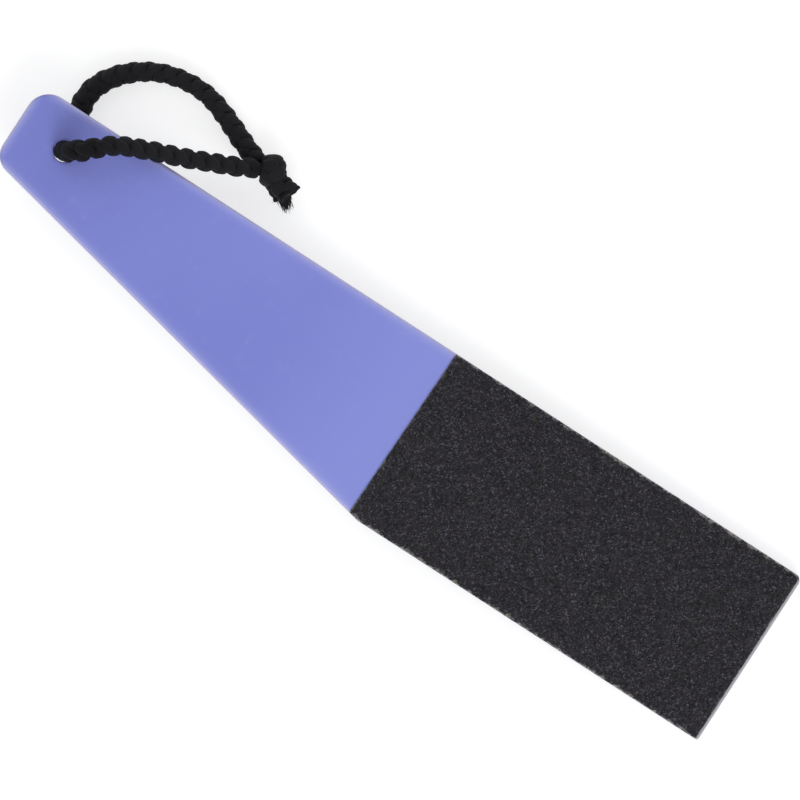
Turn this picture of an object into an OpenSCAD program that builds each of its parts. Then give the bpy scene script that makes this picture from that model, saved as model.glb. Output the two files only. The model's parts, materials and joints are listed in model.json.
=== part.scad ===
// Foot file: a flat plastic paddle with an abrasive sheet glued to each face
// of its wide end, and a plaited hanging cord tied through a hole in its handle.
// Units are millimetres. X runs along the paddle toward its abrasive tip, Y
// toward its long straight edge, and Z up from the surface that it lies on.

/* [Board] */
// Length of the board from the handle's end to the abrasive tip
board_length = 239; // [200:0.5:280]
// Width of the board under the abrasive sheets
board_width = 51; // [44:0.5:60]
// Thickness of the board
board_thickness = 3; // [2.4:0.1:4]
// Length of the full-width stretch, from the tip to the bend in the lower edge
blade_length = 107; // [90:0.5:120]
// Width across the handle's end
handle_end_width = 23; // [21:0.5:32]
// Radius of the round that runs along every edge of the board
edge_round = 1; // [0.4:0.05:1.15]
// Radius of the handle end's corner on the straight edge
end_corner_straight = 6.3; // [3:0.1:8]
// Radius of the handle end's corner on the tapered edge
end_corner_taper = 5.5; // [3:0.1:8]
// Radius of the two corners at the abrasive tip
tip_corner = 1.4; // [1.2:0.1:4]
// Radius that eases the bend in the lower edge
bend_corner = 2.5; // [1.2:0.1:6]

/* [Hang hole] */
// Diameter of the hang hole
hole_diameter = 5.6; // [5.4:0.1:8]
// Distance from the handle's end to the hole's centre
hole_from_end = 14.4; // [10:0.1:20]
// Distance from the straight edge to the hole's centre
hole_from_edge = 11.4; // [9:0.1:14]
// Width of the chamfer that eases each rim of the hole
hole_chamfer = 0.3; // [0.1:0.05:0.6]

/* [Abrasive sheets] */
// Length of a sheet along the straight edge
sheet_length = 108.7; // [80:0.1:115]
// Angle by which a sheet's inner edge is out of square
sheet_skew = 1.2; // [0:0.1:3]
// Bare margin between a sheet and the board's long edges
sheet_side_margin = 0.1; // [0.1:0.05:1]
// Bare margin between a sheet and the board's tip
sheet_tip_margin = 0.6; // [0.2:0.05:2]
// Bare paper left around the grit
grit_margin = 0.1; // [0.1:0.05:1]
// Distance that the glue stays back from the paper's edge
glue_margin = 0.9; // [0.2:0.05:3]
// Thickness of the glue under each sheet
glue_thickness = 0.1; // [0.05:0.01:0.3]
// Thickness of the coarse sheet's paper
coarse_paper_thickness = 0.35; // [0.2:0.05:0.6]
// Height of the coarse grains
coarse_grit_height = 0.4; // [0.2:0.05:0.8]
// Thickness of the fine sheet's paper
fine_paper_thickness = 0.3; // [0.2:0.05:0.6]
// Height of the fine grains
fine_grit_height = 0.2; // [0.1:0.05:0.4]

/* [Hanging cord] */
// Diameter of the plaited cord
cord_diameter = 5; // [4:0.1:5.2]
// Width of the knot's wrap, in the direction that it crosses the cord
knot_width = 8.4; // [6:0.1:10]
// Length of the knot's wrap, along the cord
knot_length = 5.6; // [4:0.1:9]
// Heading of the cord through the knot's wrap, from the paddle's length
knot_heading = 14; // [-10:1:30]
// Distance that the two ends reach from the knot's middle
end_reach = 9; // [6:0.1:14]
// Gap that keeps the two ends apart
end_gap = 0.4; // [0.2:0.05:1]
// Heading of the two ends, from the paddle's length
end_heading = -18; // [-30:1:10]

/* [Hidden] */

plastic_color = [0.52, 0.54, 0.83];
glue_color = [0.82, 0.78, 0.66];
paper_color = [0.58, 0.55, 0.5];
grit_color = [0.19, 0.19, 0.2];
cord_color = [0.1, 0.1, 0.11];

// Overrun that carries each cut clear of the faces it goes through
overrun = 0.5;
corner_facets = 32;
hole_facets = 96;
cord_sides = 12;

// Centreline of the cord above the board, from the middle of the hang hole
front_route = [
    [0, 0, 0], [0, 0, 1.5], [0.5, 0.1, 4.1], [1.5, 0.6, 6.6], [2.8, 1.5, 8.4],
    [4.7, 3.1, 9.9], [6.7, 4.9, 10.5], [9, 7, 10.2], [11.6, 8.9, 8.8], [14.4, 10.4, 6.9],
    [17.4, 11.7, 5], [20.3, 12.9, 3.6], [23.4, 14.1, 2.5], [26.7, 15.4, 1.4], [30, 16.8, 0.1],
    [33.3, 18.3, -1.4], [36.7, 19.8, -3], [40.1, 21.4, -4.4], [43.2, 23, -5.1],
    [46, 24.3, -5.1], [48.9, 25, -5.1]
];
// Centreline of the cord under the board and round to the knot
rear_route = [
    [0, 0, 0], [0, 0, -1.5], [-0.1, 0.4, -4.1], [-0.3, 1.5, -6.5], [-0.7, 3.3, -8.5],
    [-1.3, 5.6, -9.8], [-2.1, 8.2, -10.4], [-2.9, 11.2, -10.5], [-3.4, 14.4, -10.5],
    [-3.1, 17.8, -10.5], [-1.7, 21.3, -10.5], [0.8, 24.8, -10.5], [4, 27.9, -10.5],
    [7.8, 30.4, -10.5], [11.9, 32.1, -10.5], [15.9, 33, -10.5], [20, 33.3, -10.5],
    [24.1, 32.9, -10.5], [28.3, 31.7, -10.5], [32.2, 30.2, -10.5], [36.1, 28.5, -10.5],
    [40, 26.9, -10.5], [43.4, 25.7, -10.5], [46.2, 25, -10.5], [48.9, 25, -10.5]
];

// Corners of the board's outline, each with its radius
blade_start = board_length / 2 - blade_length;
outline = [
    [-board_length / 2, board_width / 2, end_corner_straight],
    [board_length / 2, board_width / 2, tip_corner],
    [board_length / 2, -board_width / 2, tip_corner],
    [blade_start, -board_width / 2, bend_corner],
    [-board_length / 2, board_width / 2 - handle_end_width, end_corner_taper]
];

// Layers of each sheet, by their distance from the board's middle plane
coarse_paper_base = board_thickness / 2 + glue_thickness;
coarse_grit_base = coarse_paper_base + coarse_paper_thickness;
fine_paper_base = board_thickness / 2 + glue_thickness;
fine_grit_base = fine_paper_base + fine_paper_thickness;
fine_face = fine_grit_base + fine_grit_height;

// The paddle lies on the tip of its fine sheet and on the cord under its
// handle, so the height of the hang hole sets how far the board is pitched
cord_radius = cord_diameter / 2;
cord_drop = -min([for (point = rear_route) point[2]]);
hole_height = cord_drop + cord_radius;
hole_u = -board_length / 2 + hole_from_end;
hole_v = board_width / 2 - hole_from_edge;
grit_tip_u = board_length / 2 - sheet_tip_margin - grit_margin;
reach = grit_tip_u - hole_u;
board_pitch = asin(hole_height / norm([reach, fine_face])) - atan(fine_face / reach);
board_height = grit_tip_u * sin(board_pitch) + fine_face * cos(board_pitch);
hole_centre = [hole_u * cos(board_pitch), hole_v, hole_height];

// The knot stands on the same surface and holds one run on top of the other
knot_height = front_route[len(front_route) - 1][2] + cord_drop + 2 * cord_radius;
knot_centre = (front_route[len(front_route) - 1] + rear_route[len(rear_route) - 1]) / 2;
end_diameter = (knot_height - end_gap) / 2;

// Point on the bisector of corner i at which a circle of radius r touches both sides
function corner_centre(i, r) =
    let (
        here = [outline[i][0], outline[i][1]],
        before = outline[(i + len(outline) - 1) % len(outline)],
        after = outline[(i + 1) % len(outline)],
        back = [before[0], before[1]] - here,
        ahead = [after[0], after[1]] - here,
        a = back / norm(back),
        b = ahead / norm(ahead)
    )
    here + (a + b) * r / abs(a[0] * b[1] - a[1] * b[0]);

// The board's outline drawn in by a margin, with sharp corners
function inset_outline(margin) = [for (i = [0:len(outline) - 1]) corner_centre(i, margin)];

function unit(v) = v / norm(v);

// Direction of a route at point i, along the chord of its neighbours
function heading(route, i) =
    unit(route[min(i + 1, len(route) - 1)] - route[max(i - 1, 0)]);

// Side direction at point i, carried along the route so that the tube never twists
function side(route, i) =
    let (
        along = heading(route, i),
        from = i == 0 ? [1, 0, 0] : side(route, i - 1)
    )
    unit(from - along * (from * along));

function ring(route, i) =
    let (
        along = heading(route, i),
        across = side(route, i),
        up = cross(along, across)
    )
    [for (k = [0:cord_sides - 1])
        route[i] + cord_radius * (across * cos(360 * k / cord_sides) + up * sin(360 * k / cord_sides))];

// Tube swept along a route, with one ring of points at each of the route's points
module cord_tube(route) {
    last = len(route) - 1;
    points = [for (i = [0:last]) each ring(route, i)];
    start_cap = [[for (k = [0:cord_sides - 1]) k]];
    end_cap = [[for (k = [cord_sides - 1:-1:0]) last * cord_sides + k]];
    walls = [
        for (i = [0:last - 1])
            for (k = [0:cord_sides - 1])
                let (
                    next = (k + 1) % cord_sides,
                    low = i * cord_sides,
                    high = low + cord_sides
                )
                each [[low + k, high + k, high + next], [low + k, high + next, low + next]]
    ];
    polyhedron(points = points, faces = concat(start_cap, end_cap, walls));
}

// Places what is drawn about the board's middle plane
module on_board() {
    translate([0, 0, board_height])
        rotate([0, board_pitch, 0])
            children();
}

// Places what is drawn from the middle of the hang hole
module at_hole() {
    translate(hole_centre)
        children();
}

// Disc with rounded rims that fills one corner of the board
module corner_disc(radius) {
    rim_height = board_thickness / 2 - edge_round;
    rotate_extrude($fn = corner_facets) {
        translate([0, -board_thickness / 2])
            square([radius - edge_round, board_thickness]);
        translate([0, -rim_height])
            square([radius, 2 * rim_height]);
        for (rim = [-rim_height, rim_height])
            intersection() {
                translate([radius - edge_round, rim])
                    circle(r = edge_round);
                translate([0, rim - edge_round])
                    square([radius, 2 * edge_round]);
            }
    }
}

module hang_hole() {
    rim = board_thickness / 2;
    translate([hole_u, hole_v, 0]) {
        cylinder(d = hole_diameter, h = board_thickness + 2 * overrun, center = true, $fn = hole_facets);
        for (turn = [0, 180])
            rotate([turn, 0, 0])
                translate([0, 0, rim - hole_chamfer])
                    cylinder(
                        d1 = hole_diameter,
                        d2 = hole_diameter + 2 * (hole_chamfer + overrun),
                        h = hole_chamfer + overrun,
                        $fn = hole_facets
                    );
    }
}

// One layer of a sheet, inside the board's outline and skewed at its inner edge
module sheet_layer(margin, base, thickness) {
    tip = board_length / 2 - sheet_tip_margin - margin;
    start = board_length / 2 - sheet_tip_margin - sheet_length + margin;
    top = board_width / 2;
    lean = tan(sheet_skew) * board_width;
    translate([0, 0, base])
        intersection() {
            linear_extrude(thickness)
                polygon(inset_outline(sheet_side_margin + margin));
            linear_extrude(thickness)
                polygon([[start, top], [tip, top], [tip, -top], [start - lean, -top]]);
        }
}

module board() {
    color(plastic_color)
        on_board()
            difference() {
                hull()
                    for (i = [0:len(outline) - 1])
                        translate(corner_centre(i, outline[i][2]))
                            corner_disc(outline[i][2]);
                hang_hole();
            }
}

module coarse_glue() {
    color(glue_color)
        on_board()
            sheet_layer(glue_margin, board_thickness / 2, glue_thickness);
}

module coarse_paper() {
    color(paper_color)
        on_board()
            sheet_layer(0, coarse_paper_base, coarse_paper_thickness);
}

module coarse_grit() {
    color(grit_color)
        on_board()
            sheet_layer(grit_margin, coarse_grit_base, coarse_grit_height);
}

module fine_glue() {
    color(glue_color)
        on_board()
            sheet_layer(glue_margin, -board_thickness / 2 - glue_thickness, glue_thickness);
}

module fine_paper() {
    color(paper_color)
        on_board()
            sheet_layer(0, -fine_grit_base, fine_paper_thickness);
}

module fine_grit() {
    color(grit_color)
        on_board()
            sheet_layer(grit_margin, -fine_face, fine_grit_height);
}

module cord_front_run() {
    color(cord_color)
        at_hole()
            cord_tube(front_route);
}

module cord_rear_run() {
    color(cord_color)
        at_hole()
            cord_tube(rear_route);
}

// Slab with a round top and bottom that holds both runs, one above the other
module cord_knot() {
    radius = knot_width / 2;
    half_rise = knot_height / 2 - radius;
    color(cord_color)
        at_hole()
            translate(knot_centre)
                rotate([0, 0, knot_heading])
                    rotate([0, 90, 0]) {
                        for (rise = [-half_rise, half_rise])
                            translate([rise, 0, 0])
                                cylinder(r = radius, h = knot_length, center = true, $fn = corner_facets);
                        cube([2 * half_rise, knot_width, knot_length], center = true);
                    }
}

module cord_ends() {
    rise = (end_diameter + end_gap) / 2;
    color(cord_color)
        at_hole()
            translate(knot_centre)
                rotate([0, 0, end_heading])
                    for (side_of_knot = [-rise, rise])
                        translate([0, 0, side_of_knot])
                            rotate([0, 90, 0])
                                cylinder(d = end_diameter, h = end_reach, $fn = corner_facets);
}

board();
coarse_glue();
coarse_paper();
coarse_grit();
fine_glue();
fine_paper();
fine_grit();
cord_front_run();
cord_rear_run();
cord_knot();
cord_ends();
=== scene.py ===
"""Looks of a flat foot file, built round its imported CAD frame.

The file is a moulded paddle with an abrasive sheet glued to each face of its blade, and a plaited hanging
cord that is knotted through a hole in its handle. Each of these has a class that holds its sizes, builds
its meshes and dresses them. Lengths are in metres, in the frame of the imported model.
"""

import json
import logging
import math
from collections.abc import Callable, Sequence
from dataclasses import dataclass, field
from enum import Enum

import bpy
import numpy as np
from mathutils.geometry import delaunay_2d_cdt
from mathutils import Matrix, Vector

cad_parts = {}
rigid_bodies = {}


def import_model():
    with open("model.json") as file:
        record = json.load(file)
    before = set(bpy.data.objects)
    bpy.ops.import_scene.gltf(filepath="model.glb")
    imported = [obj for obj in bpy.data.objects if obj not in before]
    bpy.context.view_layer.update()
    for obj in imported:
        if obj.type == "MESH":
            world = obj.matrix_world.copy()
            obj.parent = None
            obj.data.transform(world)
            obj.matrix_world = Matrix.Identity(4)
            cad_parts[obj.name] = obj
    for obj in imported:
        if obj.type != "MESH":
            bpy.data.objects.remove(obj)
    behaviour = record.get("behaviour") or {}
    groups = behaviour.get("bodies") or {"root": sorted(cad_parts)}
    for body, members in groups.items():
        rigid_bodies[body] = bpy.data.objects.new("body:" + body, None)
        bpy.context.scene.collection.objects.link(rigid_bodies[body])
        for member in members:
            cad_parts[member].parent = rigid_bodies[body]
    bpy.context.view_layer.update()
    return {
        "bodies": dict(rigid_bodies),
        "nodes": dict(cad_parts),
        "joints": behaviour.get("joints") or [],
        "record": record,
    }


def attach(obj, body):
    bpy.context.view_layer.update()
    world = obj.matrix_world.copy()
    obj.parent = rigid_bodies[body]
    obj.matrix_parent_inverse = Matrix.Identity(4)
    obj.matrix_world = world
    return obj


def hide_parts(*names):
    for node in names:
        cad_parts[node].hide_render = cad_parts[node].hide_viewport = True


MM = 0.001
TURN = 2 * math.pi
QUARTER = math.pi / 2
NOISE_VALUES = 4096
WITHIN_LOOPS = 1
SAME_POINT = 1e-7
WHITE = (1.0, 1.0, 1.0, 1.0)

Colour = tuple[float, float, float, float]
Spread = Callable[[np.ndarray], np.ndarray]
Span = tuple[float, float]

log = logging.getLogger("foot_file")


def shade(red: float, green: float, blue: float) -> Colour:
    """A colour by the numbers from 0 to 255 that a screen shows for it.

    Args:
        red: Its red number.
        green: Its green number.
        blue: Its blue number.

    Returns:
        The colour in linear light, and opaque.
    """
    parts = [value / 255 for value in (red, green, blue)]
    linear = [p / 12.92 if p <= 0.04045 else ((p + 0.055) / 1.055) ** 2.4 for p in parts]
    return (*linear, 1.0)


def unit(vectors: np.ndarray) -> np.ndarray:
    """The same directions at length 1."""
    return vectors / np.maximum(np.linalg.norm(vectors, axis=-1, keepdims=True), 1e-12)


def polar(angles: np.ndarray) -> np.ndarray:
    """The points at these angles on a circle of radius 1."""
    return np.stack([np.cos(angles), np.sin(angles)], axis=-1)


def round_angles(count: int) -> np.ndarray:
    """That many angles, evenly round a circle."""
    return np.linspace(0, TURN, count, endpoint=False)


def signed_power(values: np.ndarray | float, power: float) -> np.ndarray | float:
    """The sizes of these values to a power, with their signs kept."""
    return np.sign(values) * np.abs(values) ** power


def lengths_along(points: np.ndarray) -> np.ndarray:
    """How far each point of a row is along it."""
    return np.concatenate([[0], np.cumsum(np.linalg.norm(np.diff(points, axis=0), axis=1))])


def quarter_round(radius: float, steps: int) -> list[tuple[float, float]]:
    """How far each point of a rounded edge stands back from its side and lies below its face."""
    bend = np.linspace(0, QUARTER, steps)
    return [(radius * (1 - math.sin(a)), radius * (1 - math.cos(a))) for a in bend]


def ease(values: np.ndarray, low: float, high: float) -> np.ndarray:
    """A smooth step from 0 at low to 1 at high.

    Args:
        values: Where the step is read.
        low: Value at which the step leaves 0.
        high: Value at which the step reaches 1; it may be below low.

    Returns:
        One number from 0 to 1 for each value.
    """
    share = np.clip((values - low) / (high - low), 0, 1)
    return share * share * (3 - 2 * share)


def wander(at: np.ndarray, seed: int) -> np.ndarray:
    """Smooth noise from 0 to 1 along a line.

    Args:
        at: Places along the line, where 1 is the distance between two random values.
        seed: Which noise it is.

    Returns:
        One number for each place.
    """
    values = np.random.default_rng(seed).random(NOISE_VALUES)
    low = np.floor(at).astype(int)
    share = ease(at - low, 0, 1)
    return values[low % NOISE_VALUES] * (1 - share) + values[(low + 1) % NOISE_VALUES] * share


def ragged(at: np.ndarray, grain: float, depth: float, seed: int) -> np.ndarray:
    """How far a torn or chipped edge stands back from its line, which is nothing along a part of it.

    Args:
        at: Places along the edge, in metres.
        grain: Usual length of a chip.
        depth: Depth of the deepest chips.
        seed: Which edge it is.

    Returns:
        The depth at each place.
    """
    # How much finer each layer of chips is, its share of the depth, and the power that sharpens it
    layers = ((1.0, 0.55, 2), (2.7, 0.34, 2), (7.3, 0.2, 1))
    unchipped = 0.15
    chips = [
        share * wander(at / grain * finer, seed + number) ** power
        for number, (finer, share, power) in enumerate(layers)
    ]
    return depth * np.maximum(sum(chips) - unchipped, 0)


class Signal:
    """A value or colour in a shader. Python's operators on it add Math nodes."""

    def __init__(self, shader: "Shader", socket: bpy.types.NodeSocket) -> None:
        """Keeps the socket, and the shader that it is in."""
        self.shader = shader
        self.socket = socket

    def math(self, operation: str, *values: "Signal | float") -> "Signal":
        """The result of a Math node on these values."""
        return self.shader.read("ShaderNodeMath", {"operation": operation}, dict(enumerate(values)))

    def __add__(self, other: "Signal | float") -> "Signal":
        """Sum with another value."""
        return self.math("ADD", self, other)

    __radd__ = __add__

    def __sub__(self, other: "Signal | float") -> "Signal":
        """This value less another."""
        return self.math("SUBTRACT", self, other)

    def __rsub__(self, other: "Signal | float") -> "Signal":
        """Another value less this one."""
        return self.math("SUBTRACT", other, self)

    def __mul__(self, other: "Signal | float") -> "Signal":
        """Product with another value."""
        return self.math("MULTIPLY", self, other)

    __rmul__ = __mul__

    def sine(self) -> "Signal":
        """Sine of this value, in radians."""
        return self.math("SINE", self)

    def step(self, low: float, high: float) -> "Signal":
        """A smooth step from 0 where this value is low to 1 where it is high."""
        sockets = {"Value": self, "From Min": low, "From Max": high}
        return self.shader.read("ShaderNodeMapRange", {"interpolation_type": "SMOOTHSTEP"}, sockets)


class Shader:
    """A material that is put together from nodes. Its patterns have their sizes in metres."""

    def __init__(self, name: str) -> None:
        """Starts an empty material.

        Args:
            name: The material's name.
        """
        self.material = bpy.data.materials.new(name)
        self.material.use_nodes = True
        self.nodes = self.material.node_tree.nodes
        self.nodes.clear()

    def node(self, kind: str, settings: dict | None = None, sockets: dict | None = None) -> bpy.types.Node:
        """Adds a node.

        Args:
            kind: The node's type.
            settings: Its own settings, which are made first.
            sockets: What its input sockets hold or are linked to, by name or number.

        Returns:
            The new node.
        """
        made = self.nodes.new(kind)
        for name, value in (settings or {}).items():
            setattr(made, name, value)
        for name, value in (sockets or {}).items():
            if isinstance(value, Signal):
                self.material.node_tree.links.new(value.socket, made.inputs[name])
            else:
                made.inputs[name].default_value = value
        return made

    def read(
        self, kind: str, settings: dict | None = None, sockets: dict | None = None, output: int | str = 0
    ) -> Signal:
        """Adds a node and gives the signal of one of its outputs."""
        return Signal(self, self.node(kind, settings, sockets).outputs[output])

    def place(self) -> Signal:
        """Where each point is on its piece, in metres."""
        return self.read("ShaderNodeTexCoord", output="Object")

    def stretched(self, factors: Sequence[float], turn: float = 0.0) -> Signal:
        """Where each point is, with each axis multiplied by its factor after a turn about Z."""
        sockets = {"Vector": self.place(), "Rotation": (0, 0, turn), "Scale": tuple(factors)}
        return self.read("ShaderNodeMapping", sockets=sockets)

    def noise(self, size: float, detail: float = 2.0, at: Signal | None = None) -> Signal:
        """Cloudy noise about 0.5, with features of about that size."""
        sockets = {"Vector": at or self.place(), "Scale": 1 / size, "Detail": detail}
        return self.read("ShaderNodeTexNoise", sockets=sockets)

    def cells(self, size: float, output: str) -> Signal:
        """A cell pattern of about that size: its Distance, or its Color at random for each cell."""
        sockets = {"Vector": self.place(), "Scale": 1 / size}
        return self.read("ShaderNodeTexVoronoi", sockets=sockets, output=output)

    def chance(self, size: float) -> Signal:
        """A random number from 0 to 1 for each cell of about that size."""
        cells = self.cells(size, "Color")
        return self.read("ShaderNodeSeparateColor", sockets={"Color": cells}, output="Red")

    def stored(self, name: str, output: str = "Fac") -> Signal:
        """A value that the mesh holds at each of its points."""
        return self.read("ShaderNodeAttribute", {"attribute_name": name}, output=output)

    def blend(self, share: Signal, first: Signal | Colour, second: Signal | Colour) -> Signal:
        """The first colour where share is 0, and the second where it is 1."""
        settings = {"data_type": "RGBA", "clamp_factor": True}
        return self.read("ShaderNodeMix", settings, {0: share, 6: first, 7: second}, output=2)

    def bump(self, height: Signal, depth: float, under: Signal | None = None) -> Signal:
        """A normal for a relief.

        Args:
            height: The relief's height at each point, from 0 to 1.
            depth: How far apart 0 and 1 are.
            under: The normal of the relief that this one lies on.

        Returns:
            The normal.
        """
        sockets = {"Strength": 1.0, "Distance": depth, "Height": height}
        if under is not None:
            sockets["Normal"] = under
        return self.read("ShaderNodeBump", sockets=sockets, output="Normal")

    def finish(self, **sockets: "Signal | float | Colour") -> bpy.types.Material:
        """Ends the material with a Principled shader.

        Args:
            sockets: Its sockets' values or links, by their names with _ for each space.

        Returns:
            The material.
        """
        named = {name.replace("_", " "): value for name, value in sockets.items()}
        lit = self.read("ShaderNodeBsdfPrincipled", sockets=named, output="BSDF")
        self.node("ShaderNodeOutputMaterial", sockets={"Surface": lit})
        return self.material


@dataclass(frozen=True)
class MouldedPlastic:
    """Satin periwinkle plastic, a little translucent; its rounded edges are painted paler, partly as wear
    and partly as painted light that they let through, with a painted highlight along their crests.
    """

    tone: Colour = shade(124, 132, 211)
    pale_tone: Colour = shade(130, 138, 216)
    # Painted light: the paler tone towards the blade, a broad painted reflection
    bloom_tone: Colour = shade(136, 144, 220)
    # Painted shade: the darker tone at the handle's end
    handled_tone: Colour = shade(122, 129, 207)
    # Paler tone of the rim (partly wear, partly painted light) and of the random flecks
    edge_tone: Colour = shade(164, 168, 226)
    # Painted highlight along the crest of the rounded edge
    crest_tone: Colour = shade(218, 211, 240)
    dust_tone: Colour = shade(168, 168, 172)
    cloud_size: float = 55 * MM
    cloud_range: Span = (0.3, 0.7)
    fleck_size: float = 3 * MM
    fleck_range: Span = (0.56, 0.9)
    fleck_share: float = 0.18
    rim_share: float = 0.75
    wear_size: float = 2.2 * MM
    dust_range: Span = (0.1, 0.4)
    rub_size: float = 9 * MM
    rub_roughness: float = 0.16
    scratch_roughness: float = 0.12
    least_roughness: float = 0.36
    peel_size: float = 1.1 * MM
    peel_depth: float = 0.006 * MM
    scratch_depth: float = 0.004 * MM
    scratches_along: tuple[float, float, float] = (28, 900, 60)
    along_range: Span = (0.66, 0.72)
    scratches_across: tuple[float, float, float] = (700, 35, 60)
    across_range: Span = (0.7, 0.76)
    refraction: float = 1.46
    scatter_share: float = 0.12
    scatter: tuple[float, float, float] = (0.9, 1.0, 1.6)
    scatter_depth: float = 1.2 * MM

    def material(self) -> bpy.types.Material:
        """The plastic's material, by the mesh's rim, crest highlight, painted light and shade, and dust.

        Returns:
            The material.
        """
        shader = Shader("moulded_plastic")
        cloudy = shader.noise(self.cloud_size)
        base = shader.blend(cloudy.step(*self.cloud_range), self.tone, self.pale_tone)
        # Painted light: the board is painted paler towards the blade, as a broad reflection
        base = shader.blend(shader.stored("bloom"), base, self.bloom_tone)
        # Painted shade: the board is painted darker towards the handle's end
        base = shader.blend(shader.stored("handled") * (cloudy * 0.5 + 0.7), base, self.handled_tone)
        fleck = shader.noise(self.fleck_size, 4.0).step(*self.fleck_range) * self.fleck_share
        base = shader.blend(fleck, base, self.edge_tone)
        worn = shader.noise(self.wear_size, 3.0)
        # The rim is painted paler: partly wear, and partly painted light that the rounded edge lets through
        rim = shader.stored("rim") * (worn * 0.5 + 0.75)
        base = shader.blend(rim * self.rim_share, base, self.edge_tone)
        # Painted highlight along the crest of the rounded edge
        base = shader.blend(shader.stored("crest") * (worn * 0.4 + 0.4), base, self.crest_tone)
        base = shader.blend(shader.stored("dust") * worn.step(*self.dust_range), base, self.dust_tone)
        rubbed = shader.noise(self.rub_size, 4.0)
        along = shader.noise(1.0, 2.0, shader.stretched(self.scratches_along, turn=0.35))
        across = shader.noise(1.0, 2.0, shader.stretched(self.scratches_across, turn=0.2))
        scratches = along.step(*self.along_range) * 0.5 + across.step(*self.across_range) * 0.5
        peel = shader.bump(shader.noise(self.peel_size, 2.0), self.peel_depth)
        normal = shader.bump(1 - scratches, self.scratch_depth, peel)
        roughness = rubbed * self.rub_roughness + scratches * self.scratch_roughness
        return shader.finish(
            Base_Color=base,
            Roughness=roughness + self.least_roughness,
            Normal=normal,
            IOR=self.refraction,
            Subsurface_Weight=self.scatter_share,
            Subsurface_Radius=self.scatter,
            Subsurface_Scale=self.scatter_depth,
        )


@dataclass(frozen=True)
class BondedGrit:
    """Angular grains bonded to paper in black resin."""

    name: str
    grain: float
    relief: float
    tone: Colour = shade(18, 18, 24)
    light_tone: Colour = shade(84, 83, 95)
    olive_tone: Colour = shade(43, 47, 39)
    violet_tone: Colour = shade(36, 27, 37)
    resin_tone: Colour = shade(5, 5, 8)
    patch_size: float = 14 * MM
    violet_size: float = 2.6 * MM
    violet_range: Span = (0.42, 0.62)
    violet_share: float = 0.5
    olive_size: float = 1.9 * MM
    olive_range: Span = (0.56, 0.74)
    olive_share: float = 0.55
    light_specks: Span = (0.55, 1.0)
    light_grains: Span = (0.2, 0.95)
    roughness: float = 0.78
    glint: float = 0.3
    gloss: float = 0.34

    def material(self) -> bpy.types.Material:
        """The grit's material, which reads each grain's own tone from the mesh.

        Returns:
            The material.
        """
        shader = Shader(self.name)
        grain = shader.stored("grain")
        speck = shader.chance(self.grain)
        patch = shader.noise(self.patch_size, 3.0)
        base = shader.blend(grain * 0.75 + patch * 0.35, self.resin_tone, self.tone)
        violet = shader.noise(self.violet_size, 2.0).step(*self.violet_range) * self.violet_share
        base = shader.blend(violet, base, self.violet_tone)
        olive = shader.noise(self.olive_size, 2.0).step(*self.olive_range) * self.olive_share
        base = shader.blend(olive, base, self.olive_tone)
        light = speck.step(*self.light_specks) * grain.step(*self.light_grains)
        base = shader.blend(light, base, self.light_tone)
        pit = shader.bump(shader.cells(self.grain, "Distance"), self.relief)
        normal = shader.bump(shader.noise(self.grain * 0.45, 2.0), self.relief * 0.35, pit)
        return shader.finish(
            Base_Color=base,
            Roughness=self.roughness - speck * self.glint,
            Normal=normal,
            Specular_IOR_Level=self.gloss,
        )


@dataclass(frozen=True)
class BackingPaper:
    """Heavy grey-brown paper, soaked dark with resin on its face and pale where its edge is torn."""

    tone: Colour = shade(99, 96, 90)
    soaked_tone: Colour = shade(42, 41, 41)
    torn_tone: Colour = shade(164, 161, 156)
    fibre_stretch: tuple[float, float, float] = (1500, 5200, 3000)
    fibre_range: Span = (0.35, 0.65)
    fibre_depth: float = 0.03 * MM
    clump_size: float = 0.7 * MM
    clump_range: Span = (0.38, 0.62)
    clump_depth: float = 0.05 * MM
    gloss: float = 0.25

    def material(self) -> bpy.types.Material:
        """The paper's material, which reads how torn each point is from the mesh.

        Returns:
            The material.
        """
        shader = Shader("backing_paper")
        fibres = shader.noise(1.0, 3.0, shader.stretched(self.fibre_stretch, turn=0.4))
        clumps = shader.noise(self.clump_size, 3.0)
        base = shader.blend(fibres.step(*self.fibre_range), self.soaked_tone, self.tone)
        torn = shader.stored("torn") * clumps.step(*self.clump_range)
        base = shader.blend(torn, base, self.torn_tone)
        pulp = shader.bump(clumps, self.clump_depth)
        return shader.finish(
            Base_Color=base,
            Roughness=clumps * 0.15 + 0.8,
            Normal=shader.bump(fibres, self.fibre_depth, pulp),
            Specular_IOR_Level=self.gloss,
        )


@dataclass(frozen=True)
class GlueFilm:
    """A thin amber film of pressure-sensitive glue."""

    tone: Colour = shade(196, 182, 140)
    dull_tone: Colour = shade(158, 146, 116)
    streak_size: float = 2.5 * MM
    streak_depth: float = 0.02 * MM

    def material(self) -> bpy.types.Material:
        """Makes the glue's finish.

        Returns:
            The material.
        """
        shader = Shader("glue_film")
        streaks = shader.noise(self.streak_size, 3.0)
        return shader.finish(
            Base_Color=shader.blend(streaks, self.tone, self.dull_tone),
            Roughness=streaks * 0.3 + 0.3,
            Normal=shader.bump(streaks, self.streak_depth),
        )


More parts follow.
